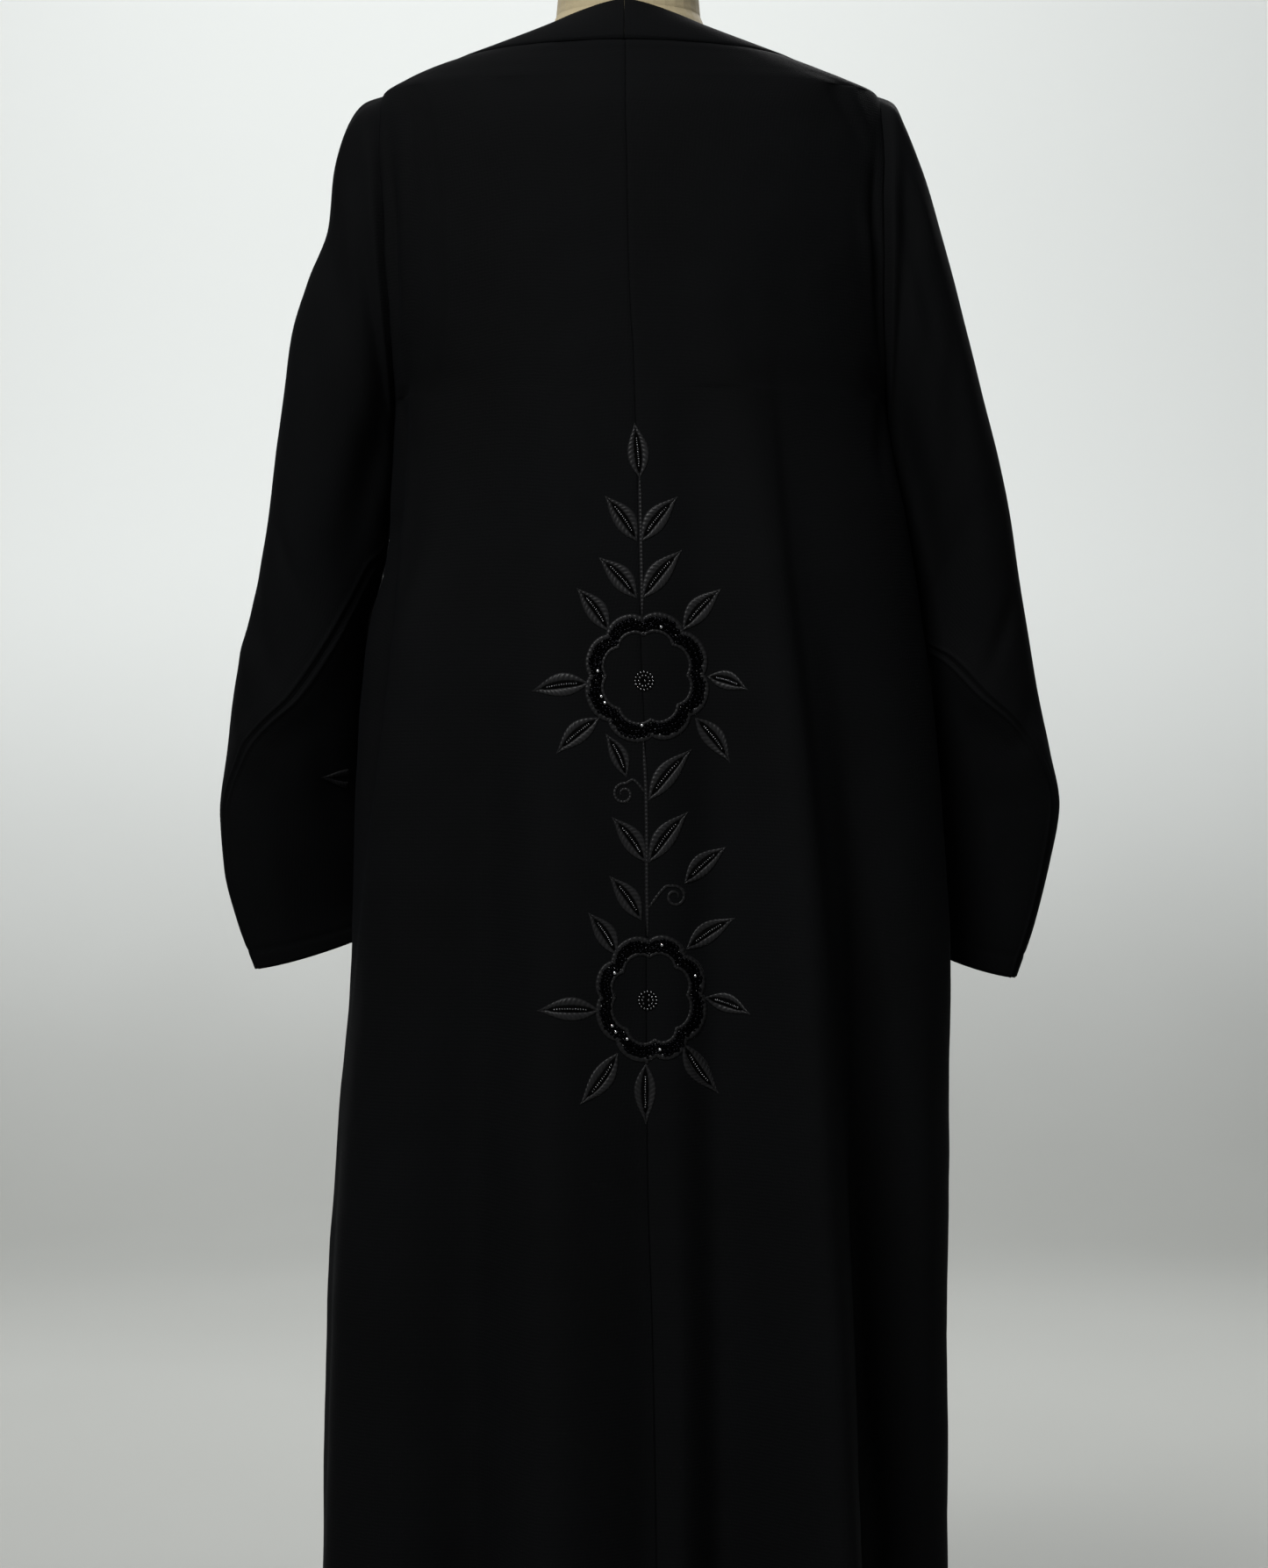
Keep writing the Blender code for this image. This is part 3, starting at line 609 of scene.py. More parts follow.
def fold_offset(around, height):
    """How far the long folds push the cloth out at this place."""
    total = 0.0
    for fold in FOLDS:
        if height >= fold.starts:
            continue
        grown = (fold.starts - height) / (fold.starts - HEM_HEIGHT)
        centre = fold.start_at + (fold.hem_at - fold.start_at) * grown
        away = abs(around) - abs(centre) if around * centre >= 0 else abs(around - centre)
        width = fold.front_width if away > 0 else fold.back_width
        gain = BACK_FOLD_GAIN if abs(fold.start_at) < BACK_FOLDS_WITHIN else 1.0
        total += gain * fold.stands_out * grown**fold.power * math.exp(-((away / width) ** 2))
    if around > 0:
        along = (height - TUCK_HEIGHT) / TUCK_HALF_LENGTH
        if abs(along) < 1:
            centre = TUCK_AT - TUCK_SLANT * (height - TUCK_HEIGHT)
            across = math.exp(-(((around - centre) / TUCK_WIDTH) ** 2))
            total -= TUCK_DEPTH * (1 - along * along) ** 2 * across
    return total


def fold_edge_push(side, x, quarters, height):
    """A side's sharp fold: the back stands out up to its edge, drops away beyond it and recovers."""
    edge = fold_edge_at(side, height)
    beyond = abs(x) - edge.x
    if quarters > 1:
        fade = max(0.0, 1 - (quarters - 1) / EDGE_ROUND_THE_SIDE) ** 2
        return -edge.falls * fade if side > 0 else 0.0
    if beyond < 0:
        return edge.stands_out * math.exp(-((beyond / EDGE_SPREAD) ** 2))
    share = min(1.0, beyond / EDGE_DROP[side])
    drop = share * share * (3 - 2 * share)
    recovered = max(0.0, 1 - beyond / EDGE_RECOVERY[side]) ** 2 if side < 0 else 1.0
    return edge.stands_out * (1 - drop) - edge.falls * drop * recovered


def body_point(around, height, lift=0.0):
    """A point of the garment's outer face, from quarter turns round the body and a height."""
    side = 1 if around >= 0 else -1
    quarters = abs(around)
    behind = quarters <= 1
    here = section_at(height)
    reach = here.left if side > 0 else here.right
    depth = here.back if behind else here.front
    sweep = math.acos(armhole_depth(height) / depth)
    turn = (quarters if behind else 2 - quarters) * sweep
    bulk = abs(math.sin(turn)) ** here.square + abs(math.cos(turn)) ** here.square
    round_off = bulk ** (-1 / here.square)
    across = math.sin(turn) * round_off
    x = side * reach * across
    y = depth * math.cos(turn) * round_off
    if behind:
        x += here.seam_x * max(0.0, 1 - across)
    normal = Vector((side * math.sin(turn) * depth, math.cos(turn) * reach, 0)).normalized()
    out = fold_offset(around, height) + lift
    place = Vector((x + normal.x * out, (y + normal.y * out) * (1 if behind else -1), height))
    place.y += fold_edge_push(side, place.x, quarters, height)
    return place


print("creases on the backs and fronts:", len(BACK_CREASES), len(FRONT_CREASES))

# %% [markdown]
# ## A sheet of cloth from a rule
#
# A grid from bmesh.ops.create_grid is laid on the surface by a rule that takes two shares, across and
# up. The grid's own rows and columns are also how the panel would lie on the cutting table, so they
# give the cloth a map in metres for its weave, and the widest row and longest column are the size it
# is cut to. Solidify then gives the sheet its thickness, inwards.

# %% Lay a sheet
Cut_size = namedtuple("Cut_size", "width length area")
sheets = {}


def link_mesh(name, bm, finish):
    """Makes an object of a bmesh, in its finish."""
    mesh = bpy.data.meshes.new(name)
    bm.to_mesh(mesh)
    bm.free()
    mesh.materials.append(finish)
    mesh.shade_smooth()
    made = bpy.data.objects.new(name, mesh)
    bpy.context.scene.collection.objects.link(made)
    return made


def lay_grid(columns, rows, place, flip):
    """A grid whose vertices lie where the rule puts them, mapped in metres of its own cloth."""
    bm = bmesh.new()
    bmesh.ops.create_grid(bm, x_segments=columns, y_segments=rows, size=0.5)
    shares = {}
    for vert in bm.verts:
        column, row = round((vert.co.x + 0.5) * columns), round((vert.co.y + 0.5) * rows)
        shares[vert] = (column, row)
        vert.co = place(column / columns, row / rows)
    by_share = {pair: vert.co.copy() for vert, pair in shares.items()}
    across, up = cloth_distances(by_share, columns, rows)
    layer = bm.loops.layers.uv.new("cloth_metres")
    for face in bm.faces:
        for loop in face.loops:
            loop[layer].uv = (across[shares[loop.vert]], up[shares[loop.vert]])
    size = Cut_size(
        max(across[(columns, row)] - across[(0, row)] for row in range(rows + 1)),
        max(up[(column, rows)] for column in range(columns + 1)),
        sum(face.calc_area() for face in bm.faces),
    )
    if flip:
        bmesh.ops.reverse_faces(bm, faces=bm.faces)
    return bm, size


def cloth_distances(points, columns, rows):
    """How far each grid point is across its row, from the middle, and up its column, along the cloth."""
    across, up = {}, {}
    middle = columns // 2
    for row in range(rows + 1):
        across[(middle, row)] = 0.0
        for column in range(middle, columns):
            step = (points[(column + 1, row)] - points[(column, row)]).length
            across[(column + 1, row)] = across[(column, row)] + step
        for column in range(middle, 0, -1):
            step = (points[(column - 1, row)] - points[(column, row)]).length
            across[(column - 1, row)] = across[(column, row)] - step
    for column in range(columns + 1):
        up[(column, 0)] = 0.0
        for row in range(rows):
            step = (points[(column, row + 1)] - points[(column, row)]).length
            up[(column, row + 1)] = up[(column, row)] + step
    return across, up


def give_wall(made, thickness):
    """Gives a sheet its thickness, inwards from its outer face."""
    wall = made.modifiers.new("wall", "SOLIDIFY")
    wall.thickness = thickness
    wall.offset = -1
    wall.use_rim = True


def cloth_piece(node, columns, rows, place, flip):
    """A sheet of crepe that stands for a node of the rigid model."""
    bm, size = lay_grid(columns, rows, place, flip)
    made = link_mesh(f"{node}_cloth", bm, crepe_black)
    give_wall(made, WALL)
    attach(made, "root")
    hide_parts(node)
    sheets[made.name] = (made, size)
    print(made.name, "is cut", round(size.width, 3), "by", round(size.length, 3), "m")
    return made


def crowd(share, amount):
    """A share moved so that the grid's columns crowd towards both seams."""
    return share - amount * math.sin(2 * math.pi * share) / (2 * math.pi)


def seam_dip(distance):
    """The dip of pressed cloth at a distance in metres from its seam."""
    return -SEAM_DIP * math.exp(-((distance / SEAM_DIP_WIDTH) ** 2))


# %% [markdown]
# ## Seams shared by neighbours
#
# Panels that are sewn together must agree on where they meet. These rules give the heights of the
# rows and the seam between each panel and the band. On a seam the two cloths all but touch, and both
# dip into it, so the seam is a fine dark line and no light comes through.

# %% Where the panels meet
WAIST_ROW = 1.00
SKIRT_ROWS, CHEST_ROWS, SHOULDER_ROWS = 7, 3, 4


def spaced(low, high, count):
    """Evenly spaced values from one to another, both included."""
    return [low + (high - low) * n / count for n in range(count + 1)]


def armhole_heights():
    """Heights that crowd towards both ends, as the armhole's curve needs."""
    middle = (UNDERARM_HEIGHT + SHOULDER_TIP_HEIGHT) / 2
    half = (SHOULDER_TIP_HEIGHT - UNDERARM_HEIGHT) / 2
    return [middle - half * math.cos(math.pi * n / ARMHOLE_ROWS) for n in range(ARMHOLE_ROWS + 1)]


def body_heights(top):
    """The rigid panels' rows. The top is the height of the last one, at the band."""
    skirt = spaced(HEM_HEIGHT, WAIST_ROW, SKIRT_ROWS)
    chest = spaced(WAIST_ROW, UNDERARM_HEIGHT, CHEST_ROWS)
    shoulder = spaced(SHOULDER_TIP_HEIGHT, top, SHOULDER_ROWS)
    return skirt + chest[1:] + armhole_heights()[1:] + shoulder[1:]


def row_at(values, share):
    """The value at a share of a list, between its members where the share falls between two."""
    place = share * (len(values) - 1)
    n = min(int(place), len(values) - 2)
    return values[n] + (values[n + 1] - values[n]) * (place - n)


def band_bend_height():
    """Where the band's seam turns from upright to slanting."""
    return armhole_heights()[ARMHOLE_ROWS // 2 - 1]


def v_neck_height():
    """Where the neck's opening closes to a V."""
    return band_bend_height() + BAND_WIDTH / 2


def front_opening(height):
    """Half the gap between the two front edges."""
    share = (v_neck_height() - height) / (v_neck_height() - HEM_HEIGHT)
    return FRONT_OPENING_AT_NECK + (FRONT_OPENING_AT_HEM - FRONT_OPENING_AT_NECK) * max(0.0, share)


def band_seam_height(quarters):
    """The height of the seam between the backs and the band."""
    fall = BAND_SEAM_AT_BACK - BAND_SEAM_AT_SHOULDER
    return BAND_SEAM_AT_BACK - fall * (1 - math.cos(min(quarters, 1) * math.pi / 2))


def band_seam_x(side, height):
    """Where the front panel meets the band: straight down the front, then out to the shoulder."""
    low = band_bend_height()
    edge = front_opening(height) + BAND_WIDTH
    if height <= low:
        return edge
    seam = section_at(BAND_SEAM_AT_SHOULDER)
    top = seam.left if side > 0 else seam.right
    return edge + (top - edge) * (height - low) / (BAND_SEAM_AT_SHOULDER - low)


def front_around(side, x, height):
    """The quarter turns at which the front lies at a distance x from the centre."""
    here = section_at(height)
    reach = here.left if side > 0 else here.right
    sweep = math.acos(armhole_depth(height) / here.front)
    share = min(1.0, x / reach)
    tangent = share / max(1e-9, (1 - share**here.square) ** (1 / here.square))
    return side * (2 - math.atan(tangent) / sweep)


print("the V of the neck closes at", round(v_neck_height(), 3), "m")

# %% [markdown]
# ## The two backs
#
# Each back is one panel from the centre seam round to the side seam, shaped at the top for the
# armhole and the neck band. It carries the garment's flare, so its hem row is the widest. A double
# hem is turned up at the bottom and sewn 20 mm above the fold, which draws a faint line round it.

# %% Backs
HEM_DEPTH = 0.020
SEAM_HOLDS = 0.018
STITCH_DIP = 0.0006
STITCH_DIP_WIDTH = 0.0022
BACK_GRID = (120, 330)
PANEL_CROWD = 0.55
TRIM_STEP = 0.01
BY_CENTRE = 0.05
FINE_WAVER = 0.4


@lru_cache(maxsize=None)
def seam_trim(side, around, height, gap):
    """Quarter turns that leave half a seam gap at this place."""
    here = body_point(around, height)
    near = body_point(around - TRIM_STEP * side, height)
    return TRIM_STEP * (gap / 2) / max(1e-6, (here - near).length)


def hem_line(height):
    """The dip of the sewing line above the hem."""
    away = (height - HEM_HEIGHT - HEM_DEPTH) / STITCH_DIP_WIDTH
    return -STITCH_DIP * math.exp(-(away**2))


def drape(creases, around, height, seam_distance):
    """The small changes to a panel's surface: creases, unevenness, hem line and seam dip."""
    point = (around * QUARTER_LENGTH, height, 0.0)
    uneven = WAVER * (waver(point, size=0.11, seed=3.7) + FINE_WAVER * waver(point, size=0.035, seed=9.1))
    loose = min(1.0, seam_distance / SEAM_HOLDS) * (crease_rise(creases, around, height) + uneven)
    return loose + hem_line(height) + seam_dip(seam_distance)


def back_panel(side, node):
    """A back, from the centre seam to the side seam."""

    def place(across, up):
        across = crowd(across, PANEL_CROWD)
        height = row_at(body_heights(band_seam_height(across) - SEAM_GAP), up)
        inner = seam_trim(side, BY_CENTRE * side, height, SEAM_GAP)
        outer = 1 - seam_trim(side, side, height, SEAM_GAP)
        around = side * (inner + (outer - inner) * across)
        edge = min(across, 1 - across) * QUARTER_LENGTH
        return body_point(around, height, drape(BACK_CREASES, around, height, edge))

    return cloth_piece(node, *BACK_GRID, place, side > 0)


backs = [back_panel(1, "back_left"), back_panel(-1, "back_right")]

# %% [markdown]
# ## The two fronts
#
# The fronts are cut like the backs, and stop at the band. They are hidden in the picture, so they are
# finished plainly, with folds and creases like those of the back.

# %% Fronts
FRONT_GRID = (80, 300)


def front_panel(side, node):
    """A front, from the side seam to the band."""
    heights = body_heights(BAND_SEAM_AT_SHOULDER - SEAM_GAP)

    def place(across, up):
        across = crowd(across, PANEL_CROWD)
        height = row_at(heights, up)
        outer = side * (1 + seam_trim(side, side, height, SEAM_GAP))
        inner = front_around(side, band_seam_x(side, height) + SEAM_GAP / 2, height)
        around = outer + (inner - outer) * across
        edge = min(across, 1 - across) * QUARTER_LENGTH * abs(inner - outer)
        return body_point(around, height, drape(FRONT_CREASES, around, height, edge))

    return cloth_piece(node, *FRONT_GRID, place, side > 0)


fronts = [front_panel(1, "front_left"), front_panel(-1, "front_right")]

# %% [markdown]
# ## The neck and front band
#
# One long strip a side starts at the centre back, passes the shoulder and runs down the front edge to
# the hem. It is folded double, so it rolls softly over the neck and down the front. The same rule
# lays it in three stretches: behind the neck, down the slope of the neckline, and down the front.

# %% Bands
BAND_GRID = (10, 420)
BAND_ROLL = 0.0012
BAND_BULGE = 0.003
BAND_LEAN = 0.6
BACK_SHARE, NECK_SHARE = 12 / 42, 28 / 42
NECK_EASE = 1.8
PEAK_ROUNDING = 0.012


def band_edge_back(side, turn):
    """The band's upper edge behind the neck: a low peak at the centre back."""
    x = BAND_SHOULDER_X * math.sin(turn)
    drop = BAND_TOP_SLOPE * (math.hypot(x, PEAK_ROUNDING) - PEAK_ROUNDING)
    seam_x = section_at(BAND_SEAM_AT_BACK).seam_x * math.cos(turn)
    return Vector((side * x + seam_x, BAND_BACK_DEPTH * math.cos(turn), BAND_TOP_AT_BACK - drop))


def band_behind_neck(side, turn, across):
    """The band between its seam with the back and its upper edge, leaning out a little."""
    quarters = turn / (math.pi / 2)
    low = body_point(side * quarters, band_seam_height(quarters))
    high = band_edge_back(side, turn)
    out = Vector((math.sin(turn) * side, math.cos(turn), BAND_LEAN)).normalized()
    bulge = BAND_BULGE * math.sin(math.pi * across) * math.cos(turn)
    return low.lerp(high, across) + out * (bulge + seam_dip(across * BAND_WIDTH))


def band_in_front(side, seam_height, edge_height, across):
    """The band between a height on its seam and a height on its free edge."""
    height = seam_height + (edge_height - seam_height) * across
    top = BODY[-1].height
    edge = front_opening(edge_height)
    rise = max(0.0, (edge_height - v_neck_height()) / (top - v_neck_height()))
    top_section = section_at(top)
    edge += ((top_section.left if side > 0 else top_section.right) - edge) * rise
    seam = band_seam_x(side, seam_height) - SEAM_GAP / 2
    roll = BAND_ROLL * math.sin(math.pi * across) + seam_dip(across * BAND_WIDTH)
    roll += WAVER / 2 * waver((across * BAND_WIDTH, height, side), size=0.05, seed=1.3)
    return body_point(front_around(side, seam + (edge - seam) * across, height), height, roll)


def band(side, node):
    """A band in three stretches, which share out its length as the rigid model's rows do."""
    top = BODY[-1].height
    bend = band_bend_height()

    def place(across, along):
        if along <= BACK_SHARE + 1e-6:
            turn = max(along / BACK_SHARE * math.pi / 2, SEAM_GAP / 2 / BAND_SHOULDER_X)
            return band_behind_neck(side, turn, across)
        if along <= NECK_SHARE:
            share = ((along - BACK_SHARE) / (NECK_SHARE - BACK_SHARE)) ** NECK_EASE
            seam_height = BAND_SEAM_AT_SHOULDER + (bend - BAND_SEAM_AT_SHOULDER) * share
            return band_in_front(side, seam_height, top + (v_neck_height() - top) * share, across)
        share = (along - NECK_SHARE) / (1 - NECK_SHARE)
        edge_height = v_neck_height() + (HEM_HEIGHT - v_neck_height()) * share
        return band_in_front(side, bend + (HEM_HEIGHT - bend) * share, edge_height, across)

    return cloth_piece(node, *BAND_GRID, place, side > 0)


bands = [band(1, "band_left"), band(-1, "band_right")]
print("panels and bands so far:", len(backs + fronts + bands))

# %% [markdown]
# ## The sleeves
#
# A sleeve is one wrapped piece whose long edges meet in a seam. Each row of its table is a flattened
# ring: the point farthest from the body, the point nearest it, half its thickness, and the turn in
# degrees at which the seam lies. The forearm turns towards the front, which brings the seam round to
# the back. Small pleats ease the sleeve head into the armhole.

# %% Sleeve tables
Ring = namedtuple("Ring", "outer_x outer_y outer_z inner_x inner_y inner_z depth seam crease")
LEFT_SLEEVE = [
    Ring(0.1955, 0.000, 1.3840, 0.1870, 0.000, 1.140, 0.046, 180, 0.000),
    Ring(0.2110, 0.000, 1.3760, 0.1862, -0.004, 1.124, 0.053, 180, 0.000),
    Ring(0.2235, 0.000, 1.3590, 0.1866, -0.010, 1.106, 0.052, 180, 0.000),
    Ring(0.2345, 0.000, 1.3215, 0.1864, -0.016, 1.084, 0.055, 180, 0.000),
    Ring(0.2390, 0.000, 1.2795, 0.1880, -0.022, 1.062, 0.056, 180, 0.000),
    Ring(0.2550, 0.000, 1.2375, 0.1921, -0.026, 1.040, 0.056, 176, 0.000),
    Ring(0.2675, 0.000, 1.1955, 0.1948, -0.030, 1.018, 0.055, 162, 0.001),
    Ring(0.2740, 0.000, 1.1500, 0.2000, -0.034, 0.996, 0.054, 146, 0.002),
    Ring(0.2810, 0.000, 1.0980, 0.2069, -0.038, 0.972, 0.052, 136, 0.004),
    Ring(0.2885, 0.000, 1.0380, 0.2117, -0.045, 0.944, 0.050, 118, 0.005),
    Ring(0.2990, 0.000, 0.9780, 0.2146, -0.054, 0.912, 0.048, 96, 0.006),
    Ring(0.3115, 0.000, 0.9180, 0.2172, -0.064, 0.876, 0.046, 70, 0.006),
    Ring(0.3175, -0.003, 0.8640, 0.2182, -0.075, 0.842, 0.043, 28, 0.004),
    Ring(0.3235, -0.010, 0.8120, 0.2160, -0.086, 0.808, 0.040, 6, 0.002),
    Ring(0.3215, -0.020, 0.7680, 0.2140, -0.094, 0.776, 0.037, 5, 0.002),
    Ring(0.3125, -0.031, 0.7250, 0.2120, -0.101, 0.746, 0.034, 5, 0.002),
    Ring(0.3000, -0.042, 0.6870, 0.2060, -0.107, 0.7195, 0.031, 5, 0.002),
]
RIGHT_SLEEVE = [
    Ring(-0.1980, 0.000, 1.3840, -0.2060, 0.000, 1.140, 0.046, 180, 0.000),
    Ring(-0.2115, 0.000, 1.3760, -0.2068, -0.004, 1.122, 0.053, 180, 0.000),
    Ring(-0.2205, 0.000, 1.3600, -0.2095, -0.010, 1.102, 0.052, 180, 0.000),
    Ring(-0.2355, 0.000, 1.3215, -0.2132, -0.016, 1.080, 0.055, 180, 0.000),
    Ring(-0.2475, 0.000, 1.2795, -0.2178, -0.022, 1.060, 0.056, 180, 0.000),
    Ring(-0.2595, 0.000, 1.2375, -0.2227, -0.026, 1.040, 0.056, 180, 0.000),
    Ring(-0.2700, 0.000, 1.1955, -0.2257, -0.030, 1.018, 0.055, 180, 0.000),
    Ring(-0.2810, 0.000, 1.1500, -0.2290, -0.034, 0.996, 0.054, 180, 0.000),
    Ring(-0.2945, 0.000, 1.0980, -0.2330, -0.038, 0.972, 0.052, 180, 0.000),
    Ring(-0.3060, 0.001, 1.0380, -0.2360, -0.045, 0.944, 0.050, 148, 0.003),
    Ring(-0.3140, 0.003, 0.9780, -0.2435, -0.054, 0.912, 0.048, 106, 0.005),
    Ring(-0.3225, 0.003, 0.9180, -0.2475, -0.064, 0.876, 0.046, 66, 0.006),
    Ring(-0.3330, 0.000, 0.8640, -0.2492, -0.075, 0.842, 0.042, 22, 0.004),
    Ring(-0.3405, -0.008, 0.8200, -0.2470, -0.086, 0.808, 0.039, 6, 0.002),
    Ring(-0.3345, -0.020, 0.7730, -0.2450, -0.094, 0.774, 0.036, 5, 0.002),
    Ring(-0.3245, -0.032, 0.7250, -0.2435, -0.101, 0.742, 0.033, 5, 0.002),
    Ring(-0.3110, -0.043, 0.6800, -0.2412, -0.107, 0.7105, 0.030, 5, 0.002),
]
TWIST_FROM = 8
TWIST_FULL = 13
Pleat = namedtuple("Pleat", "turn stands_out runs half_width")
PLEATS = [Pleat(26, 0.0045, 3.6, 9), Pleat(-4, 0.0035, 2.6, 8), Pleat(-34, 0.0040, 3.0, 9)]
PLEAT_STARTS = -0.25

# %% [markdown]
# ## Creases of the sleeves
#
# A filled sleeve hangs in long soft hollows from the armhole, and short drag lines cross the elbow
# where the arm bends. Each is a line between two places, given by a turn in degrees and a ring's
# number, so it stays on the sleeve when a ring moves.

# %% Sleeve creases
SleeveCrease = namedtuple("SleeveCrease", "turn ring to_turn to_ring rise width")
SLEEVE_CREASES = {
    1: [
        SleeveCrease(60, 0.5, 30, 5.0, -0.0030, 0.010),
        SleeveCrease(100, 1.5, 70, 6.5, 0.0024, 0.013),
        SleeveCrease(140, 1.2, 118, 8.0, -0.0095, 0.015),
        SleeveCrease(112, 2.0, 96, 8.0, 0.0030, 0.014),
        SleeveCrease(20, 8.5, 75, 9.6, -0.0026, 0.009),
        SleeveCrease(-10, 9.5, 60, 11.0, -0.0030, 0.010),
        SleeveCrease(0, 11.3, 45, 12.4, 0.0022, 0.010),
        SleeveCrease(-20, 10.4, 30, 10.9, 0.0020, 0.009),
        SleeveCrease(90, 11.5, 120, 14.5, -0.0024, 0.012),
        SleeveCrease(-60, 9.0, -110, 10.5, -0.0030, 0.010),
        SleeveCrease(-70, 11.0, -120, 12.0, -0.0026, 0.010),
        SleeveCrease(-80, 2.0, -60, 7.0, 0.0026, 0.013),
        SleeveCrease(45, 13.0, 60, 15.6, 0.0018, 0.010),
    ],
    -1: [
        SleeveCrease(48, 0.6, 40, 4.6, 0.0034, 0.008),
        SleeveCrease(66, 0.8, 74, 5.0, -0.0032, 0.009),
        SleeveCrease(95, 2.2, 84, 6.6, 0.0026, 0.012),
        SleeveCrease(142, 1.2, 122, 9.0, -0.0095, 0.015),
        SleeveCrease(116, 2.0, 104, 8.0, 0.0026, 0.014),
        SleeveCrease(40, 5.0, 66, 9.0, 0.0020, 0.015),
        SleeveCrease(100, 6.5, 92, 10.0, -0.0024, 0.014),
        SleeveCrease(10, 9.6, 70, 10.8, -0.0030, 0.010),
        SleeveCrease(-5, 11.0, 52, 12.2, -0.0024, 0.010),
        SleeveCrease(-60, 9.2, -118, 10.6, -0.0030, 0.010),
        SleeveCrease(-66, 11.4, -120, 12.3, 0.0026, 0.011),
        SleeveCrease(-84, 2.2, -64, 6.8, -0.0026, 0.013),
        SleeveCrease(60, 12.6, 72, 15.4, 0.0018, 0.010),
    ],
}
DEGREE_LENGTH = 0.00085
RING_LENGTH = 0.046
print("creases on a sleeve:", len(SLEEVE_CREASES[1]), len(SLEEVE_CREASES[-1]))

# %% [markdown]
# ## Wrapping the sleeves
#
# The rings are joined by smooth curves, and the first one is drawn to the armhole's edge, tucked just
# behind the panels as a sewn sleeve is. A narrow piping stands up beside the long seam. The grid's
# columns crowd towards that seam, so that the dip and the piping have enough of them.

# %% Sleeves
SLEEVE_GRID = (130, 250)
SLEEVE_CROWD = 0.82
CUFF_HEM = 0.018
PIPING_RISE = 0.0011
PIPING_WIDTH = 0.0016
PIPING_AWAY = 0.0034
SEAM_RIDGE_SPREAD = 20
ARMHOLE_CALM = 0.6
PIPING_CALM = 2
WAVER_CALM = 1.5
SLEEVE_DIP = 0.8


def ring_curves(rows):
    places = list(range(len(rows)))
    return {name: smooth_curve(places, [getattr(row, name) for row in rows]) for name in Ring._fields}


sleeve_curves = {1: ring_curves(LEFT_SLEEVE), -1: ring_curves(RIGHT_SLEEVE)}
LAST_RING = len(LEFT_SLEEVE) - 1


@lru_cache(maxsize=None)
def ring_at(side, place):
    return Ring(**{name: curve(place) for name, curve in sleeve_curves[side].items()})


def turned_by(turn, centre):
    """How far a turn is from another, from -180 to 180 degrees."""
    return (turn - centre + 180) % 360 - 180


def pleat_offset(turn, place):
    """How far the pleats of the sleeve's head stand out at this place."""
    total = 0.0
    for pleat in PLEATS:
        if place < pleat.runs:
            share = (place - PLEAT_STARTS) / (pleat.runs - PLEAT_STARTS)
            rise = math.sin(math.pi * min(1.0, share))
            away = turned_by(turn, pleat.turn)
            total += pleat.stands_out * rise * math.exp(-((away / pleat.half_width) ** 2))
    return total


def sleeve_crease_rise(side, turn, place):
    total = 0.0
    for crease in SLEEVE_CREASES[side]:
        run = (crease.to_turn - crease.turn) * DEGREE_LENGTH, (crease.to_ring - crease.ring) * RING_LENGTH
        way = turned_by(turn, crease.turn) * DEGREE_LENGTH, (place - crease.ring) * RING_LENGTH
        total += one_crease(crease, run, way)
    return total


def ring_frame(side, place):
    """A ring's middle, its half towards the outer point, and its direction towards the back."""
    ring = ring_at(side, place)
    outer = Vector((ring.outer_x, ring.outer_y, ring.outer_z))
    inner = Vector((ring.inner_x, ring.inner_y, ring.inner_z))
    half = (outer - inner) / 2
    twist = min(1.0, max(0.0, (place - TWIST_FROM) / (TWIST_FULL - TWIST_FROM)))
    flat = Vector((1, 0, 0)).lerp(Vector((abs(half.x), half.y, 0)).normalized(), twist)
    return (outer + inner) / 2, half, Vector((-flat.y * side, flat.x, 0)).normalized()


@lru_cache(maxsize=None)
def armhole_corners(side, behind):
    """The armhole's edge on the back, or just past the side seam on the front."""
    around = side if behind else side * (1 + 1e-9)
    return [body_point(around, height) for height in armhole_heights()]


def armhole_edge(side, angle):
    """The sleeve's own edge: the panels' armhole edge, tucked a little behind it as a sewn sleeve is."""
    rows_up = (1 - math.acos(math.cos(angle)) / math.pi) * ARMHOLE_ROWS
    row = min(int(rows_up), ARMHOLE_ROWS - 1)
    corners = armhole_corners(side, math.sin(angle) >= 0)
    edge = corners[row].lerp(corners[row + 1], rows_up - row)
    return Vector((edge.x - side * ARMHOLE_TUCK, edge.y * (1 - ARMHOLE_TUCK / ARMHOLE_HALF_DEPTH), edge.z))


def sleeve_start(side, angle):
    """The sleeve's first ring as its table alone would lay it."""
    ring = ring_at(side, 0.0)
    outer = Vector((ring.outer_x, ring.outer_y, ring.outer_z))
    inner = Vector((ring.inner_x, ring.inner_y, ring.inner_z))
    middle, half = (outer + inner) / 2, (outer - inner) / 2
    return middle + half * math.cos(angle) + Vector((0, ring.depth * math.sin(angle), 0))


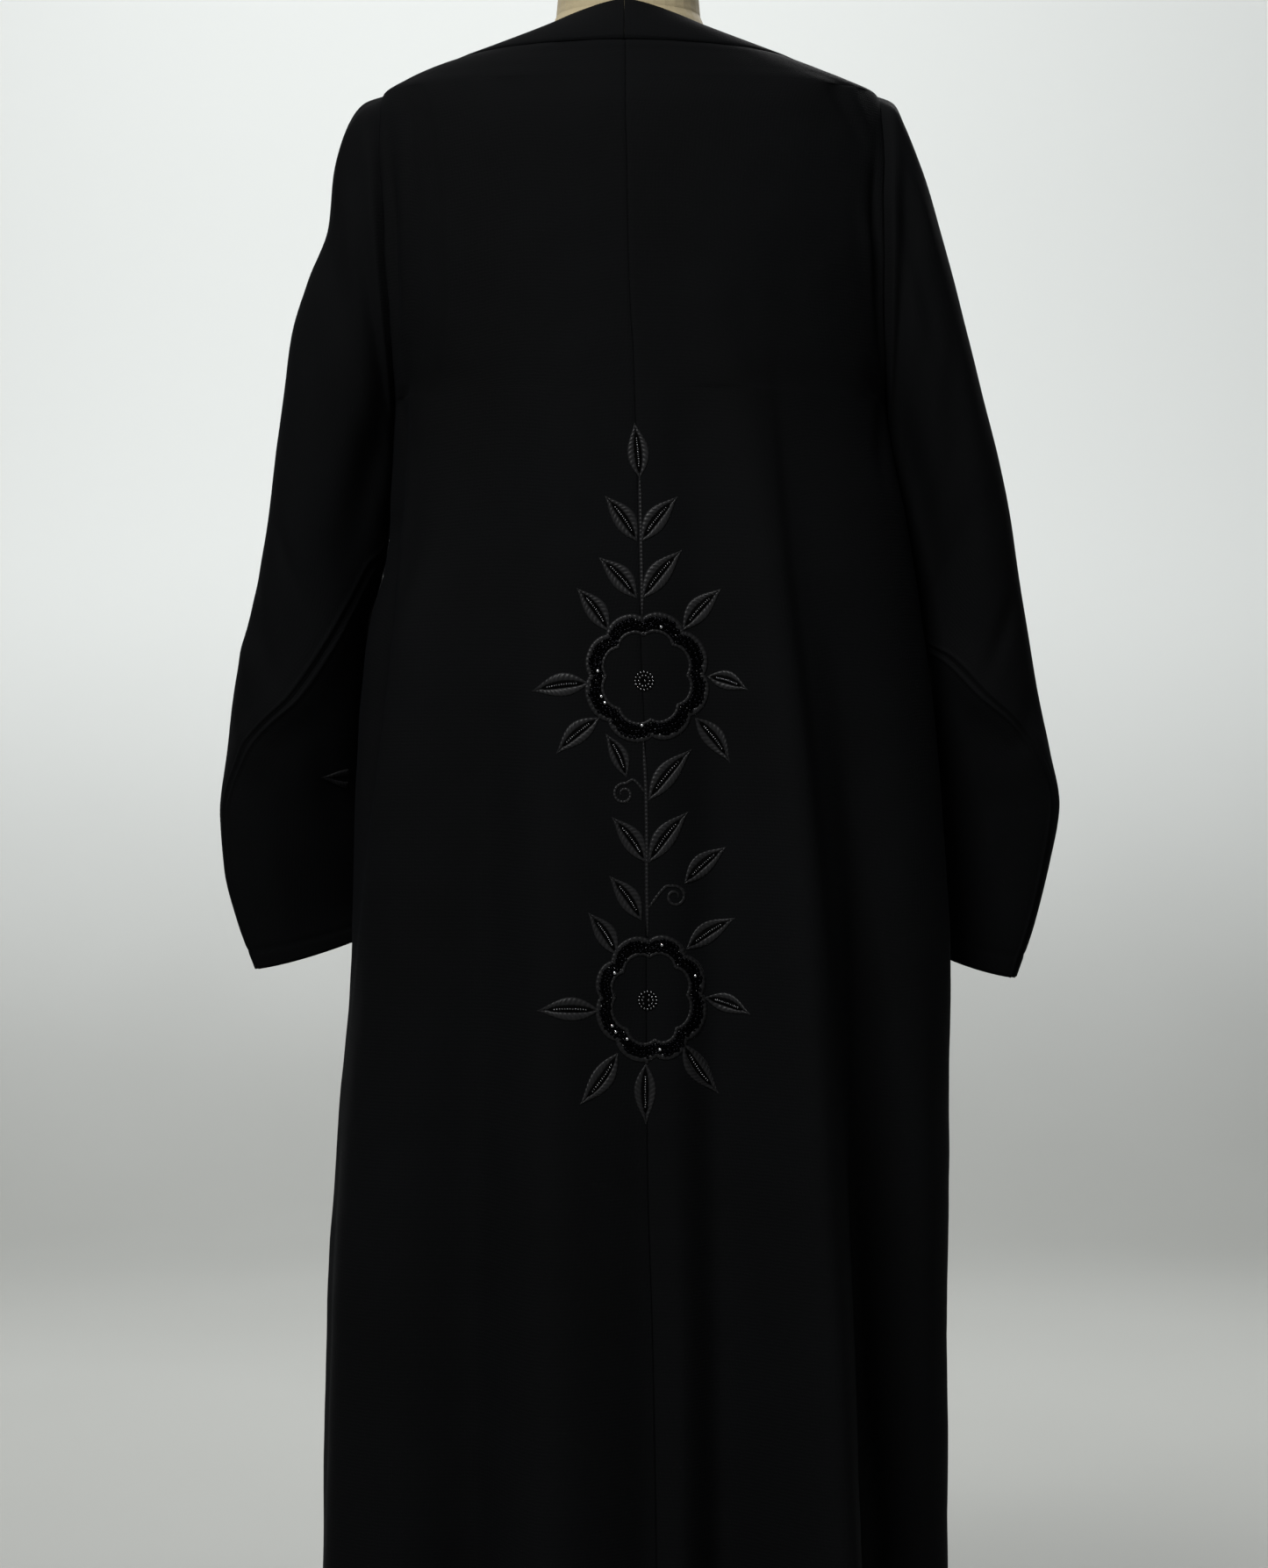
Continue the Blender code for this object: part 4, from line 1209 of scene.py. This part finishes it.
def sleeve_point(side, turn, place, extra=0.0):
    """A point of the sleeve's outer face. turn runs in degrees from the outer point to the back."""
    ring = ring_at(side, place)
    middle, half, behind = ring_frame(side, place)
    angle = math.radians(turn)
    away = turned_by(turn, ring.seam)
    lift = ring.crease * math.exp(-((away / SEAM_RIDGE_SPREAD) ** 2)) + pleat_offset(turn, place)
    fade = min(1.0, place / ARMHOLE_CALM)
    small = sleeve_crease_rise(side, turn, place) * fade + extra
    stretch = 1 + (lift + small) / half.length
    point = middle + half * math.cos(angle) * stretch
    point += behind * math.sin(angle) * (ring.depth + lift + small)
    if place < 1:
        point += (armhole_edge(side, angle) - sleeve_start(side, angle)) * (1 - place) ** 2
    return point


def sleeve(side, node):
    """A sleeve, from one edge of its seam round to the other. It grows calm towards the armhole."""

    def place(across, along):
        across = crowd(across, SLEEVE_CROWD)
        at = along * LAST_RING
        ring = ring_at(side, at)
        trim = math.degrees(SEAM_GAP / 2 / ring.depth)
        turn = ring.seam + trim + (360 - 2 * trim) * across
        edge = min(across, 1 - across) * 360 * DEGREE_LENGTH
        uneven = WAVER * waver((turn * DEGREE_LENGTH, at * RING_LENGTH, side), size=0.06, seed=5.9)
        uneven *= math.sin(math.pi * min(1.0, 4 * min(across, 1 - across)) / 2)
        cuff = ((LAST_RING - at) * RING_LENGTH - CUFF_HEM) / STITCH_DIP_WIDTH
        piping = PIPING_RISE * math.exp(-(((edge - PIPING_AWAY) / PIPING_WIDTH) ** 2))
        small = SLEEVE_DIP * seam_dip(edge) + piping * min(1.0, at / PIPING_CALM)
        small += uneven * min(1.0, at / WAVER_CALM) - STITCH_DIP * math.exp(-(cuff**2))
        return sleeve_point(side, turn, at, small)

    return cloth_piece(node, *SLEEVE_GRID, place, side > 0)


sleeves = [sleeve(1, "sleeve_left"), sleeve(-1, "sleeve_right")]

# %% [markdown]
# ## A place on the cloth under a place in the picture
#
# The embroidery was sewn on the finished back, and its sizes are read from the picture. A line from
# the camera through a pixel meets the cloth at one point, and that point and the cloth's own normal
# carry everything stitched there, so it follows the folds from every side. The cloth is searched with
# a tree of its faces.

# %% Find the cloth under a pixel
def face_tree(pieces):
    """A search tree over several pieces' sheets, without their walls."""
    merged = bmesh.new()
    for piece in pieces:
        merged.from_mesh(piece.data)
    tree = BVHTree.FromBMesh(merged)
    merged.free()
    return tree


back_tree = face_tree(backs)
sleeve_tree = face_tree(sleeves)
Spot = namedtuple("Spot", "point normal")


def spot_under(px, py, tree=None):
    """The cloth's point and outward normal under a pixel, or just beside it where a seam opens."""
    height = CAMERA_HEIGHT + (PICTURE_HIGH / 2 - py) * PIXEL
    for beside in (0, 1, -1, 2, -2):
        target = Vector((-(px + beside - CENTRE_COLUMN) * PIXEL, 0, height))
        point, normal, _, _ = (tree or back_tree).ray_cast(eye, (target - eye).normalized())
        if point is not None and point.y > 0:
            break
    if normal.dot(eye - point) < 0:
        normal = -normal
    return Spot(point, normal)


UPPER_DISC = (734, 776)
middle_spot = spot_under(*UPPER_DISC)
print("the upper flower's centre lies at", [round(v, 3) for v in middle_spot.point])

# %% [markdown]
# ## Raised stitching
#
# Satin stitch stands a little proud of the cloth, with a rounded back. Each stitched shape is a grid
# that runs along a path and across its width, lifted in the middle and down at both edges. The map in
# metres runs with the path, so the threads can cross it at a slant. Many strips are joined in one
# bmesh, which is faster than an object each.

# %% Stitched strips
LIFT = 0.0002
SATIN_RISE = 0.0007
FULL_RISE_WIDTH = 0.002
DOME_SQUARENESS = 0.7


def stitched_strip(bm, left, right, rise, columns=4):
    """Adds a raised strip between two rows of spots, with its edges down on the cloth."""
    rows = len(left) - 1
    verts = bmesh.ops.create_grid(bm, x_segments=columns, y_segments=rows, size=0.5)["verts"]
    layer = bm.loops.layers.uv.verify()
    lengths = [0.0]
    for a, b in zip(left, left[1:]):
        lengths.append(lengths[-1] + (b.point - a.point).length)
    maps = {}
    for vert in verts:
        across, row = vert.co.x + 0.5, round((vert.co.y + 0.5) * rows)
        a, b = left[row], right[row]
        normal = (a.normal + b.normal).normalized()
        dome = math.sin(math.pi * across) ** DOME_SQUARENESS if 0 < across < 1 else 0.0
        wide = (b.point - a.point).length
        lift = LIFT + rise * dome * min(1.0, wide / FULL_RISE_WIDTH)
        vert.co = a.point.lerp(b.point, across) + normal * lift
        maps[vert] = (across * wide, lengths[row])
    faces = {face for vert in verts for face in vert.link_faces}
    for face in faces:
        for loop in face.loops:
            loop[layer].uv = maps[loop.vert]
    middle = left[rows // 2]
    bm.normal_update()
    outward = sum((face.normal * face.calc_area() for face in faces), Vector())
    if outward.dot(middle.normal) < 0:
        bmesh.ops.reverse_faces(bm, faces=list(faces))


def smooth_route(points, steps):
    """Points on a smooth curve through a few, evenly shared between them."""
    keys = [0.0]
    for a, b in zip(points, points[1:]):
        keys.append(keys[-1] + math.dist(a, b))

    def tangent(n, axis):
        low, high = max(n - 1, 0), min(n + 1, len(points) - 1)
        return (points[high][axis] - points[low][axis]) / (keys[high] - keys[low])

    route = []
    for step in range(steps + 1):
        at = keys[-1] * step / steps
        n = min(bisect.bisect_right(keys, at) - 1, len(points) - 2)
        h = keys[n + 1] - keys[n]
        t = (at - keys[n]) / h
        place = []
        for axis in (0, 1):
            a, b = points[n][axis], points[n + 1][axis]
            ta, tb = tangent(n, axis) * h, tangent(n + 1, axis) * h
            place.append(
                a * (1 + 2 * t) * (1 - t) ** 2 + ta * t * (1 - t) ** 2
                + b * t * t * (3 - 2 * t) + tb * t * t * (t - 1)
            )
        route.append(tuple(place))
    return route


def sides_of(route, half_widths, closed=False):
    """The two edges of a strip along a route in the picture, as spots on the cloth."""
    left, right = [], []
    for n, (px, py) in enumerate(route):
        low = route[n - 1] if n or closed else route[n]
        high = route[(n + 1) % len(route)] if n + 1 < len(route) or closed else route[n]
        dx, dy = high[0] - low[0], high[1] - low[1]
        size = math.hypot(dx, dy) or 1.0
        half = half_widths[n]
        left.append(spot_under(px - dy / size * half, py + dx / size * half))
        right.append(spot_under(px + dy / size * half, py - dx / size * half))
    return left, right


# %% [markdown]
# ## The stems and tendrils
#
# One long stem runs down the centre seam and ties the flowers together, and two thin tendrils curl
# off it. They are satin cord, so each is a strip along its route. A table holds each route by its few
# bends in the picture's pixels, and its width.

# %% Stems
Stem = namedtuple("Stem", "bends half_width")
STEMS = [
    Stem([(729, 543), (730, 600), (731, 650), (732, 704)], 2.4),
    Stem([(733, 842), (736, 900), (737, 960), (737, 1010), (738, 1068)], 2.4),
    Stem([(737, 1206), (737, 1213)], 2.2),
]
STEM_STEP = 4
STEM_END, STEM_TAPER = 0.3, 1 / 6
Tendril = namedtuple("Tendril", "root_x root_y bend_x bend_y centre_x centre_y radius enters turns")
TENDRILS = [
    Tendril(737, 906, 722, 889, 711, 905, 12.5, -80, -1.35),
    Tendril(738, 1036, 758, 1011, 769, 1022, 12.5, -100, 1.35),
]
TENDRIL_HALF_WIDTH = 1.8
TENDRIL_END, TENDRIL_TAPER = 0.2, 8
TENDRIL_RISE = 0.6 * SATIN_RISE
TENDRIL_STEPS = 70
CURL_STEPS = 25
CURL_CLOSES = 0.72


def tendril_route(tendril):
    """From the stem over a bend into a spiral that closes towards its centre."""
    route = [(tendril.root_x, tendril.root_y), (tendril.bend_x, tendril.bend_y)]
    for n in range(CURL_STEPS + 1):
        share = n / CURL_STEPS
        angle = math.radians(tendril.enters + 360 * tendril.turns * share)
        radius = tendril.radius * (1 - CURL_CLOSES * share)
        along, down = radius * math.cos(angle), radius * math.sin(angle)
        route.append((tendril.centre_x + along, tendril.centre_y + down))
    return route


def tapered(half_width, steps, end, taper):
    """Half widths along a route that start at a share of the full one and grow over a few steps."""
    return [half_width * min(1, end + n / taper, end + (steps - n) / taper) for n in range(steps + 1)]


stitching = bmesh.new()
stitching.loops.layers.uv.new("cloth_metres")
for stem in STEMS:
    length = math.dist(stem.bends[0], stem.bends[-1])
    steps = max(4, int(length / STEM_STEP))
    route = smooth_route(stem.bends, steps)
    widths = tapered(stem.half_width, steps, STEM_END, STEM_TAPER * steps)
    stitched_strip(stitching, *sides_of(route, widths), SATIN_RISE)
for tendril in TENDRILS:
    route = smooth_route(tendril_route(tendril), TENDRIL_STEPS)
    widths = tapered(TENDRIL_HALF_WIDTH, TENDRIL_STEPS, TENDRIL_END, TENDRIL_TAPER)
    stitched_strip(stitching, *sides_of(route, widths), TENDRIL_RISE)
print("stems and tendrils:", len(STEMS) + len(TENDRILS))

# %% [markdown]
# ## The scalloped flowers
#
# Each flower is two rings of satin scallops with a dark band of sequins between them, and a disc of
# beads in the middle. A scallop is an arch between two notches, so one rule draws both rings: the
# distance from the centre swells between notches that lie about an eighth of a turn apart. Hand
# guiding leaves each arch a little different, which a seeded random number copies.

# %% Flower rings
Flower = namedtuple("Flower", "x y wide high outer inner seed")
FLOWERS = [
    Flower(737, 772, 1.0, 1.04, 62.5, 46.5, 4),
    Flower(742, 1138, 0.925, 1.055, 60.0, 45.0, 9),
]
LOBES = 8
FIRST_NOTCH = -92
NOTCH_SHAKE = 4
ARCH_SQUARENESS = 2.4
ARCH_STEPS = 14
OUTER_LOBE = 7.5
INNER_LOBE = 6.0
OUTER_HALF_WIDTH = 3.4
INNER_HALF_WIDTH = 2.2


def flower_notches(flower):
    """The turns of a flower's notches, in degrees, each a little off its even place."""
    shaker = random.Random(flower.seed)
    return [360 / LOBES * n + FIRST_NOTCH + shaker.uniform(-NOTCH_SHAKE, NOTCH_SHAKE) for n in range(LOBES)]


def scallop_route(flower, notch_radius, lobe, steps_each=ARCH_STEPS):
    """A closed ring of arches round a flower's centre."""
    notches = flower_notches(flower)
    route = []
    for n in range(LOBES):
        start = notches[n]
        end = notches[(n + 1) % LOBES] + (360 if n == LOBES - 1 else 0)
        for step in range(steps_each):
            share = step / steps_each
            angle = math.radians(start + (end - start) * share)
            arch = 1 - abs(2 * share - 1) ** ARCH_SQUARENESS
            radius = notch_radius + lobe * arch
            route.append((
                flower.x + flower.wide * radius * math.cos(angle),
                flower.y + flower.high * radius * math.sin(angle),
            ))
    return route


for flower in FLOWERS:
    for notch_radius, lobe, half_width in (
        (flower.outer, OUTER_LOBE, OUTER_HALF_WIDTH),
        (flower.inner, INNER_LOBE, INNER_HALF_WIDTH),
    ):
        route = scallop_route(flower, notch_radius, lobe)
        left, right = sides_of(route, [half_width] * len(route), closed=True)
        stitched_strip(stitching, left + left[:1], right + right[:1], SATIN_RISE)
print("flower rings:", 2 * len(FLOWERS))

# %% [markdown]
# ## The leaves
#
# A leaf is two fields of satin stitch that meet its edge on the outside and leave a narrow bare vein
# between them, where a row of seed beads lies on a near-black bed of painted shade. The half width swells
# from the stalk and runs out to a long point. Its midline bows a little, so that no leaf is a straight
# lens. One more leaf comes out from under the left sleeve's seam.

# %% Leaves
Leaf = namedtuple("Leaf", "base_x base_y tip_x tip_y half_width bow")
LEAVES = [
    Leaf(729, 545, 723, 482, 12.5, 1.0),
    Leaf(726, 617, 689, 565, 13.0, 3.0),
    Leaf(731, 617, 772, 566, 13.0, -3.0),
    Leaf(726, 682, 682, 635, 13.0, 3.0),
    Leaf(732, 682, 777, 627, 13.5, -3.0),
    Leaf(694, 720, 657, 670, 12.5, 3.0),
    Leaf(778, 718, 822, 671, 13.0, -3.0),
    Leaf(671, 779, 606, 788, 13.5, 3.0),
    Leaf(806, 771, 852, 786, 11.0, -3.0),
    Leaf(683, 818, 634, 859, 12.5, 3.0),
    Leaf(792, 818, 832, 869, 12.5, -3.0),
    Leaf(714, 886, 690, 836, 10.5, 3.0),
    Leaf(739, 912, 788, 854, 13.0, -3.0),
    Leaf(736, 983, 697, 931, 12.5, 3.0),
    Leaf(739, 983, 784, 925, 13.0, -3.0),
    Leaf(731, 1049, 694, 998, 12.5, 3.0),
    Leaf(780, 1007, 828, 965, 12.0, -3.0),
    Leaf(703, 1089, 670, 1040, 12.0, 3.0),
    Leaf(782, 1082, 838, 1046, 12.0, -3.0),
    Leaf(683, 1152, 612, 1152, 13.5, 2.0),
    Leaf(803, 1137, 855, 1156, 11.0, -3.0),
    Leaf(704, 1200, 661, 1259, 13.0, -3.0),
    Leaf(778, 1189, 819, 1246, 12.5, 3.0),
    Leaf(736, 1212, 736, 1281, 12.5, 1.0),
]
SLEEVE_LEAF = Leaf(434, 889, 368, 886, 11.5, 0.0)
LEAF_BELLY, LEAF_POINT = 0.86, 1.15
LEAST_HALF_WIDTH = 0.35
VEIN_HALF_WIDTH = 3.9
VEIN_MOST = 0.62
VEIN_FROM, VEIN_SPAN = 0.10, 0.72
BED_FROM, BED_SPAN = 0.11, 0.70
BED_UNDERLAP = 0.5
LEAST_BED = 0.3
LEAF_STEPS = 26
BED_STEPS = 14


def leaf_swell(share):
    """The half width's share of its full value, from the stalk to the tip."""
    return math.sin(math.pi * share**LEAF_BELLY) ** LEAF_POINT if 0 < share < 1 else 0.0


def leaf_middle(leaf, share):
    """A point of the bowed midline and the direction across it, both in the picture."""
    dx, dy = leaf.tip_x - leaf.base_x, leaf.tip_y - leaf.base_y
    length = math.hypot(dx, dy)
    across = (-dy / length, dx / length)
    bow = leaf.bow * math.sin(math.pi * share)
    return (leaf.base_x + dx * share + across[0] * bow, leaf.base_y + dy * share + across[1] * bow), across


def vein_width(share):
    """Half the bare vein's width, nothing at its two ends."""
    along = min(1.0, max(0.0, (share - VEIN_FROM) / VEIN_SPAN))
    return VEIN_HALF_WIDTH * max(0.0, math.sin(math.pi * along)) ** 0.5


def stitch_leaf(bm, leaf, tree=None, first_step=0):
    """A leaf's two fields of satin stitch. A leaf that comes out of a seam starts at a later step."""
    for hand in (1, -1):
        edge, vein = [], []
        for step in range(first_step, LEAF_STEPS + 1):
            share = step / LEAF_STEPS
            (px, py), across = leaf_middle(leaf, share)
            wide = max(LEAST_HALF_WIDTH, leaf.half_width * leaf_swell(share)) * hand
            bare = min(vein_width(share), VEIN_MOST * abs(wide)) * hand
            edge.append(spot_under(px + across[0] * wide, py + across[1] * wide, tree))
            vein.append(spot_under(px + across[0] * bare, py + across[1] * bare, tree))
        stitched_strip(bm, edge, vein, SATIN_RISE, columns=5)


def painted_shade_vein_bed(bm, leaf):
    """The near-black bed of painted shade between a leaf's two fields, which reaches a little under both.
    """
    low, high = [], []
    for step in range(BED_STEPS + 1):
        share = BED_FROM + BED_SPAN * step / BED_STEPS
        (px, py), across = leaf_middle(leaf, share)
        wide = max(LEAST_BED, vein_width(share)) + BED_UNDERLAP
        low.append(spot_under(px - across[0] * wide, py - across[1] * wide))
        high.append(spot_under(px + across[0] * wide, py + across[1] * wide))
    stitched_strip(bm, low, high, 0.0, columns=2)


# Painted shade: near-black beds under the vein beads, the bead discs and the sequin bands.
painted_shade_beds = bmesh.new()
painted_shade_beds.loops.layers.uv.new("cloth_metres")
leaf_stitching = bmesh.new()
leaf_stitching.loops.layers.uv.new("cloth_metres")
for leaf in LEAVES:
    stitch_leaf(leaf_stitching, leaf)
    painted_shade_vein_bed(painted_shade_beds, leaf)
stitch_leaf(leaf_stitching, SLEEVE_LEAF, sleeve_tree, LEAF_STEPS // 2 + 1)
print("leaves:", len(LEAVES) + 1, "with", len(leaf_stitching.faces), "faces")

# %% [markdown]
# ## From mesh to sewn piece
#
# All of the satin stitch of one kind is one piece, with a thin wall so that it is closed from every
# side. It rides with the garment, because it is sewn to it.

# %% Give the stitching its thread
THREAD_WALL = 0.0003


def sewn_on(name, bm, finish, thickness=0.0):
    """Makes a piece of the sewing, with a wall where it has no thickness of its own."""
    made = link_mesh(name, bm, finish)
    if thickness:
        give_wall(made, thickness)
    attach(made, "root")
    return made


cords = sewn_on("embroidery_stems_and_rings", stitching, thread_cord, THREAD_WALL)
leaves = sewn_on("embroidery_leaves", leaf_stitching, thread_black, THREAD_WALL)

# %% [markdown]
# ## Seed beads
#
# A seed bead is a short glass barrel about 1.8 mm across with a hole, sewn down through the hole, so it
# shows its round side. A low sphere, a little flattened along its hole, is enough at this size, and
# all the beads are copied into one mesh. They lie in a row along each vein, and in rings on a near-black
# disc of painted shade in the middle of each flower.

# %% Beads
BEAD_RADIUS = 0.00086
BEAD_FLATTENED = 0.72
BEAD_STANDS = 0.75
VEIN_BEADS = 13
ROW_FROM, ROW_SPAN = 0.22, 0.50
LOOK_AHEAD = 0.05


def add_bead(bm, spot, radius, along=None):
    """A small bead sitting on the cloth, its hole along the cloth's normal or along a row."""
    verts = bmesh.ops.create_uvsphere(bm, u_segments=8, v_segments=5, radius=radius)["verts"]
    turn = (along or spot.normal).to_track_quat("Z", "Y")
    centre = spot.point + spot.normal * (BEAD_STANDS * radius)
    for vert in verts:
        flat = Vector((vert.co.x, vert.co.y, vert.co.z * BEAD_FLATTENED))
        vert.co = centre + turn @ flat


beads = bmesh.new()
for leaf in LEAVES:
    for n in range(VEIN_BEADS):
        share = ROW_FROM + ROW_SPAN * n / (VEIN_BEADS - 1)
        (px, py), _ = leaf_middle(leaf, share)
        (nx, ny), _ = leaf_middle(leaf, share + LOOK_AHEAD)
        spot = spot_under(px, py)
        add_bead(beads, spot, BEAD_RADIUS, spot_under(nx, ny).point - spot.point)
vein_beads = len(LEAVES) * VEIN_BEADS

Bead_ring = namedtuple("Bead_ring", "radius count")
BEAD_DISC = [Bead_ring(1.2, 1), Bead_ring(6.2, 10), Bead_ring(10.2, 16)]
BEAD_DISC_CENTRES = [UPPER_DISC, (738, 1140)]
DISC_BED = 11.8
DISC_STEPS = 12
LEAST_DISC = 0.2


def painted_shade_disc_bed(bm, centre_x, centre_y):
    """The round near-black bed under a flower's middle, painted shade between the beads."""
    low, high = [], []
    for n in range(DISC_STEPS + 1):
        angle = math.pi * n / DISC_STEPS
        across, down = max(LEAST_DISC, DISC_BED * math.sin(angle)), DISC_BED * math.cos(angle)
        low.append(spot_under(centre_x - across, centre_y + down))
        high.append(spot_under(centre_x + across, centre_y + down))
    stitched_strip(bm, low, high, 0.0, columns=6)


for centre_x, centre_y in BEAD_DISC_CENTRES:
    painted_shade_disc_bed(painted_shade_beds, centre_x, centre_y)
    for ring in BEAD_DISC:
        for n in range(ring.count):
            angle = 2 * math.pi * n / ring.count
            along, down = ring.radius * math.cos(angle), ring.radius * math.sin(angle)
            add_bead(beads, spot_under(centre_x + along, centre_y + down), BEAD_RADIUS)
print("beads in veins and discs:", vein_beads + 2 * sum(ring.count for ring in BEAD_DISC))

# %% [markdown]
# ## The dark band of sequins
#
# Between each flower's two rings lies a band of small dark sequins, sewn down one over the next, with
# seed beads among them. Each sequin lies at its own slight tilt, so no two give back the same light.
# A sequin is a shallow cup with a hole, which is a very low open cone. The few bright glints of the
# picture are cut glass stones, each a small round bead set on top.

# %% Sequins
SEQUIN_RADIUS = 0.0019
SEQUIN_TILT = 13
SEQUIN_HOLE = 0.25
SEQUIN_CUP = 0.22
SEQUIN_STANDS = 0.0009
SEQUIN_WALL = 0.00012
SEQUIN_LANES = (0.24, 0.52, 0.80)
LANE_SHAKE = 0.06
SEQUINS_TO_ARCH = 11
BEAD_EVERY = 11
SMALL_BEAD = 0.6 * BEAD_RADIUS
BED_WALL = 0.0001


def add_sequin(bm, spot, facing, radius):
    """A shallow cup with a hole, tilted to face its own way."""
    verts = bmesh.ops.create_cone(
        bm, segments=10, radius1=radius, radius2=SEQUIN_HOLE * radius, depth=SEQUIN_CUP * radius,
        cap_ends=False,
    )["verts"]
    turn = facing.to_track_quat("Z", "Y")
    centre = spot.point + spot.normal * SEQUIN_STANDS
    for vert in verts:
        vert.co = centre + turn @ vert.co


Glint = namedtuple("Glint", "x y")
GLINTS = [
    Glint(753, 715), Glint(681, 765), Glint(685, 794), Glint(689, 801), Glint(731, 827),
    Glint(754, 1077), Glint(700, 1109), Glint(791, 1112), Glint(697, 1169), Glint(701, 1176),
    Glint(714, 1184), Glint(752, 1196),
]
CRYSTAL_RADIUS = 0.0014
CRYSTAL_STANDS = 0.0010
# A near-black bed of painted shade under each band of sequins.
for flower in FLOWERS:
    inner = scallop_route(flower, flower.inner + INNER_HALF_WIDTH, INNER_LOBE)
    outer = scallop_route(flower, flower.outer - OUTER_HALF_WIDTH, OUTER_LOBE)
    low, high = ([spot_under(px, py) for px, py in route] for route in (inner, outer))
    stitched_strip(painted_shade_beds, low + low[:1], high + high[:1], 0.0, columns=3)
sequins = bmesh.new()
shaker = random.Random(21)
sequin_count = 0
steepest = math.tan(math.radians(SEQUIN_TILT))
for flower in FLOWERS:
    inner = scallop_route(flower, flower.inner, INNER_LOBE, SEQUINS_TO_ARCH)
    outer = scallop_route(flower, flower.outer, OUTER_LOBE, SEQUINS_TO_ARCH)
    for lane, lane_share in enumerate(SEQUIN_LANES):
        for n, ((ix, iy), (ox, oy)) in enumerate(zip(inner, outer)):
            share = lane_share + shaker.uniform(-LANE_SHAKE, LANE_SHAKE)
            spot = spot_under(ix + (ox - ix) * share, iy + (oy - iy) * share)
            tilt = Vector([shaker.uniform(-1, 1) for _ in range(3)]) * steepest
            if (n + lane) % BEAD_EVERY == 0:
                add_bead(beads, spot, SMALL_BEAD)
            else:
                add_sequin(sequins, spot, (spot.normal + tilt).normalized(), SEQUIN_RADIUS)
                sequin_count += 1
crystals = bmesh.new()
for glint in GLINTS:
    spot = spot_under(glint.x, glint.y)
    add_bead(crystals, Spot(spot.point + spot.normal * CRYSTAL_STANDS, spot.normal), CRYSTAL_RADIUS)
print("sequins:", sequin_count, "and cut glass stones:", len(GLINTS))

decorations = [
    sewn_on("embroidery_sequins", sequins, sequin_dark, SEQUIN_WALL),
    sewn_on("embroidery_beads", beads, bead_dark),
    sewn_on("embroidery_cut_glass", crystals, crystal),
    # The beds are painted shade under the beads and sequins.
    sewn_on("embroidery_painted_shade_beds", painted_shade_beds, painted_shade_black, BED_WALL),
]

# %% [markdown]
#
# Each sheet keeps the size that it was cut to, which is the widest row and the longest column of its
# grid, and the number of sheets is printed.

# %% Sheets
for name, (made, size) in sheets.items():
    round(min(size.area, size.width * size.length), 4)
print("sheets declared:", len(sheets))

# %% [markdown]
# ## The studio
#
# A pale floor sweeps up into a pale wall far behind, so nothing but the cloak has an edge. The paint
# is darkened towards the floor, a painted shade for light that falls off lower down. The key light stands
# high, a little to the left of the camera, and a weak one fills the other side. One more light is turned
# on the wall alone, which stays pale behind the black cloth, and the last one lights the cloak's front,
# for a view from that side. A dim pale sky fills the shadows.

# %% Floor and lights
FLOOR_HALF = 5.0
WALL_AT = -5.7
WALL_TOP = 6.0
SWEEP = 2.3
SWEEP_STEPS = 24


def studio_sweep(finish):
    """The floor and wall in one: a profile drawn from side to side."""
    bm = bmesh.new()
    profile = [(FLOOR_HALF, 0), (WALL_AT + SWEEP, 0)]
    for n in range(1, SWEEP_STEPS + 1):
        angle = math.pi / 2 * n / SWEEP_STEPS
        profile.append((WALL_AT + SWEEP * (1 - math.sin(angle)), SWEEP * (1 - math.cos(angle))))
    profile.append((WALL_AT, WALL_TOP))
    verts = [bm.verts.new((-FLOOR_HALF, y, z)) for y, z in profile]
    edges = [bm.edges.new(pair) for pair in zip(verts, verts[1:])]
    made = bmesh.ops.extrude_edge_only(bm, edges=edges)["geom"]
    moved = [item for item in made if isinstance(item, bmesh.types.BMVert)]
    bmesh.ops.translate(bm, verts=moved, vec=(2 * FLOOR_HALF, 0, 0))
    bmesh.ops.recalc_face_normals(bm, faces=bm.faces)
    return link_mesh("studio_sweep", bm, finish)


def pale_paint_with_painted_shade(name):
    """Matt paint with painted shade, darker towards the floor for light that falls off lower down."""
    made, shader, graph = start_material(name)
    place = graph.places()
    mottle = place.noise(1.2, 2.0, 0.5)
    height = place.add("ShaderNodeSeparateXYZ", None, {"Vector": place}, 2)
    # Painted shade: the paint darkens towards the floor, for light that falls off lower down.
    shade = height.add("ShaderNodeMapRange", {"interpolation_type": "SMOOTHSTEP"}, {
        "Value": height + 0.15 * mottle, "From Min": -0.2, "From Max": 1.5,
    })
    feed(
        shader,
        Base_Color=shade.between((0.31, 0.315, 0.300), (0.80, 0.825, 0.81)),
        Roughness=0.85 + 0.05 * mottle,
        Specular_IOR_Level=0.2,
    )
    return made


studio_sweep(pale_paint_with_painted_shade("pale_studio_paint_painted_shade"))


def soft_light(name, place, target, size, watts):
    """A square soft light at a place, turned to a target."""
    data = bpy.data.lights.new(name, "AREA")
    data.shape = "SQUARE"
    data.size = size
    data.energy = watts
    made = bpy.data.objects.new(name, data)
    made.location = place
    made.rotation_euler = (Vector(target) - Vector(place)).to_track_quat("-Z", "Y").to_euler()
    bpy.context.scene.collection.objects.link(made)


soft_light("key_light", (1.0, 2.3, 3.6), (0, 0, 1.1), 1.2, 98)
soft_light("fill_light", (-2.4, 2.6, 1.8), (0, 0, 0.8), 2.0, 5)
soft_light("wall_light", (0.6, -1.2, 4.0), (0.1, WALL_AT, 1.4), 2.4, 205)
soft_light("front_light", (-0.9, -2.2, 3.0), (0, 0, 0.9), 1.6, 50)

world = bpy.data.worlds.new("pale_sky")
world.use_nodes = True
sky = world.node_tree.nodes["Background"].inputs
sky["Color"].default_value = (0.80, 0.82, 0.84, 1)
sky["Strength"].default_value = 0.07
bpy.context.scene.world = world
bpy.context.scene.view_settings.view_transform = "Standard"
print("lights:", len(bpy.data.lights))
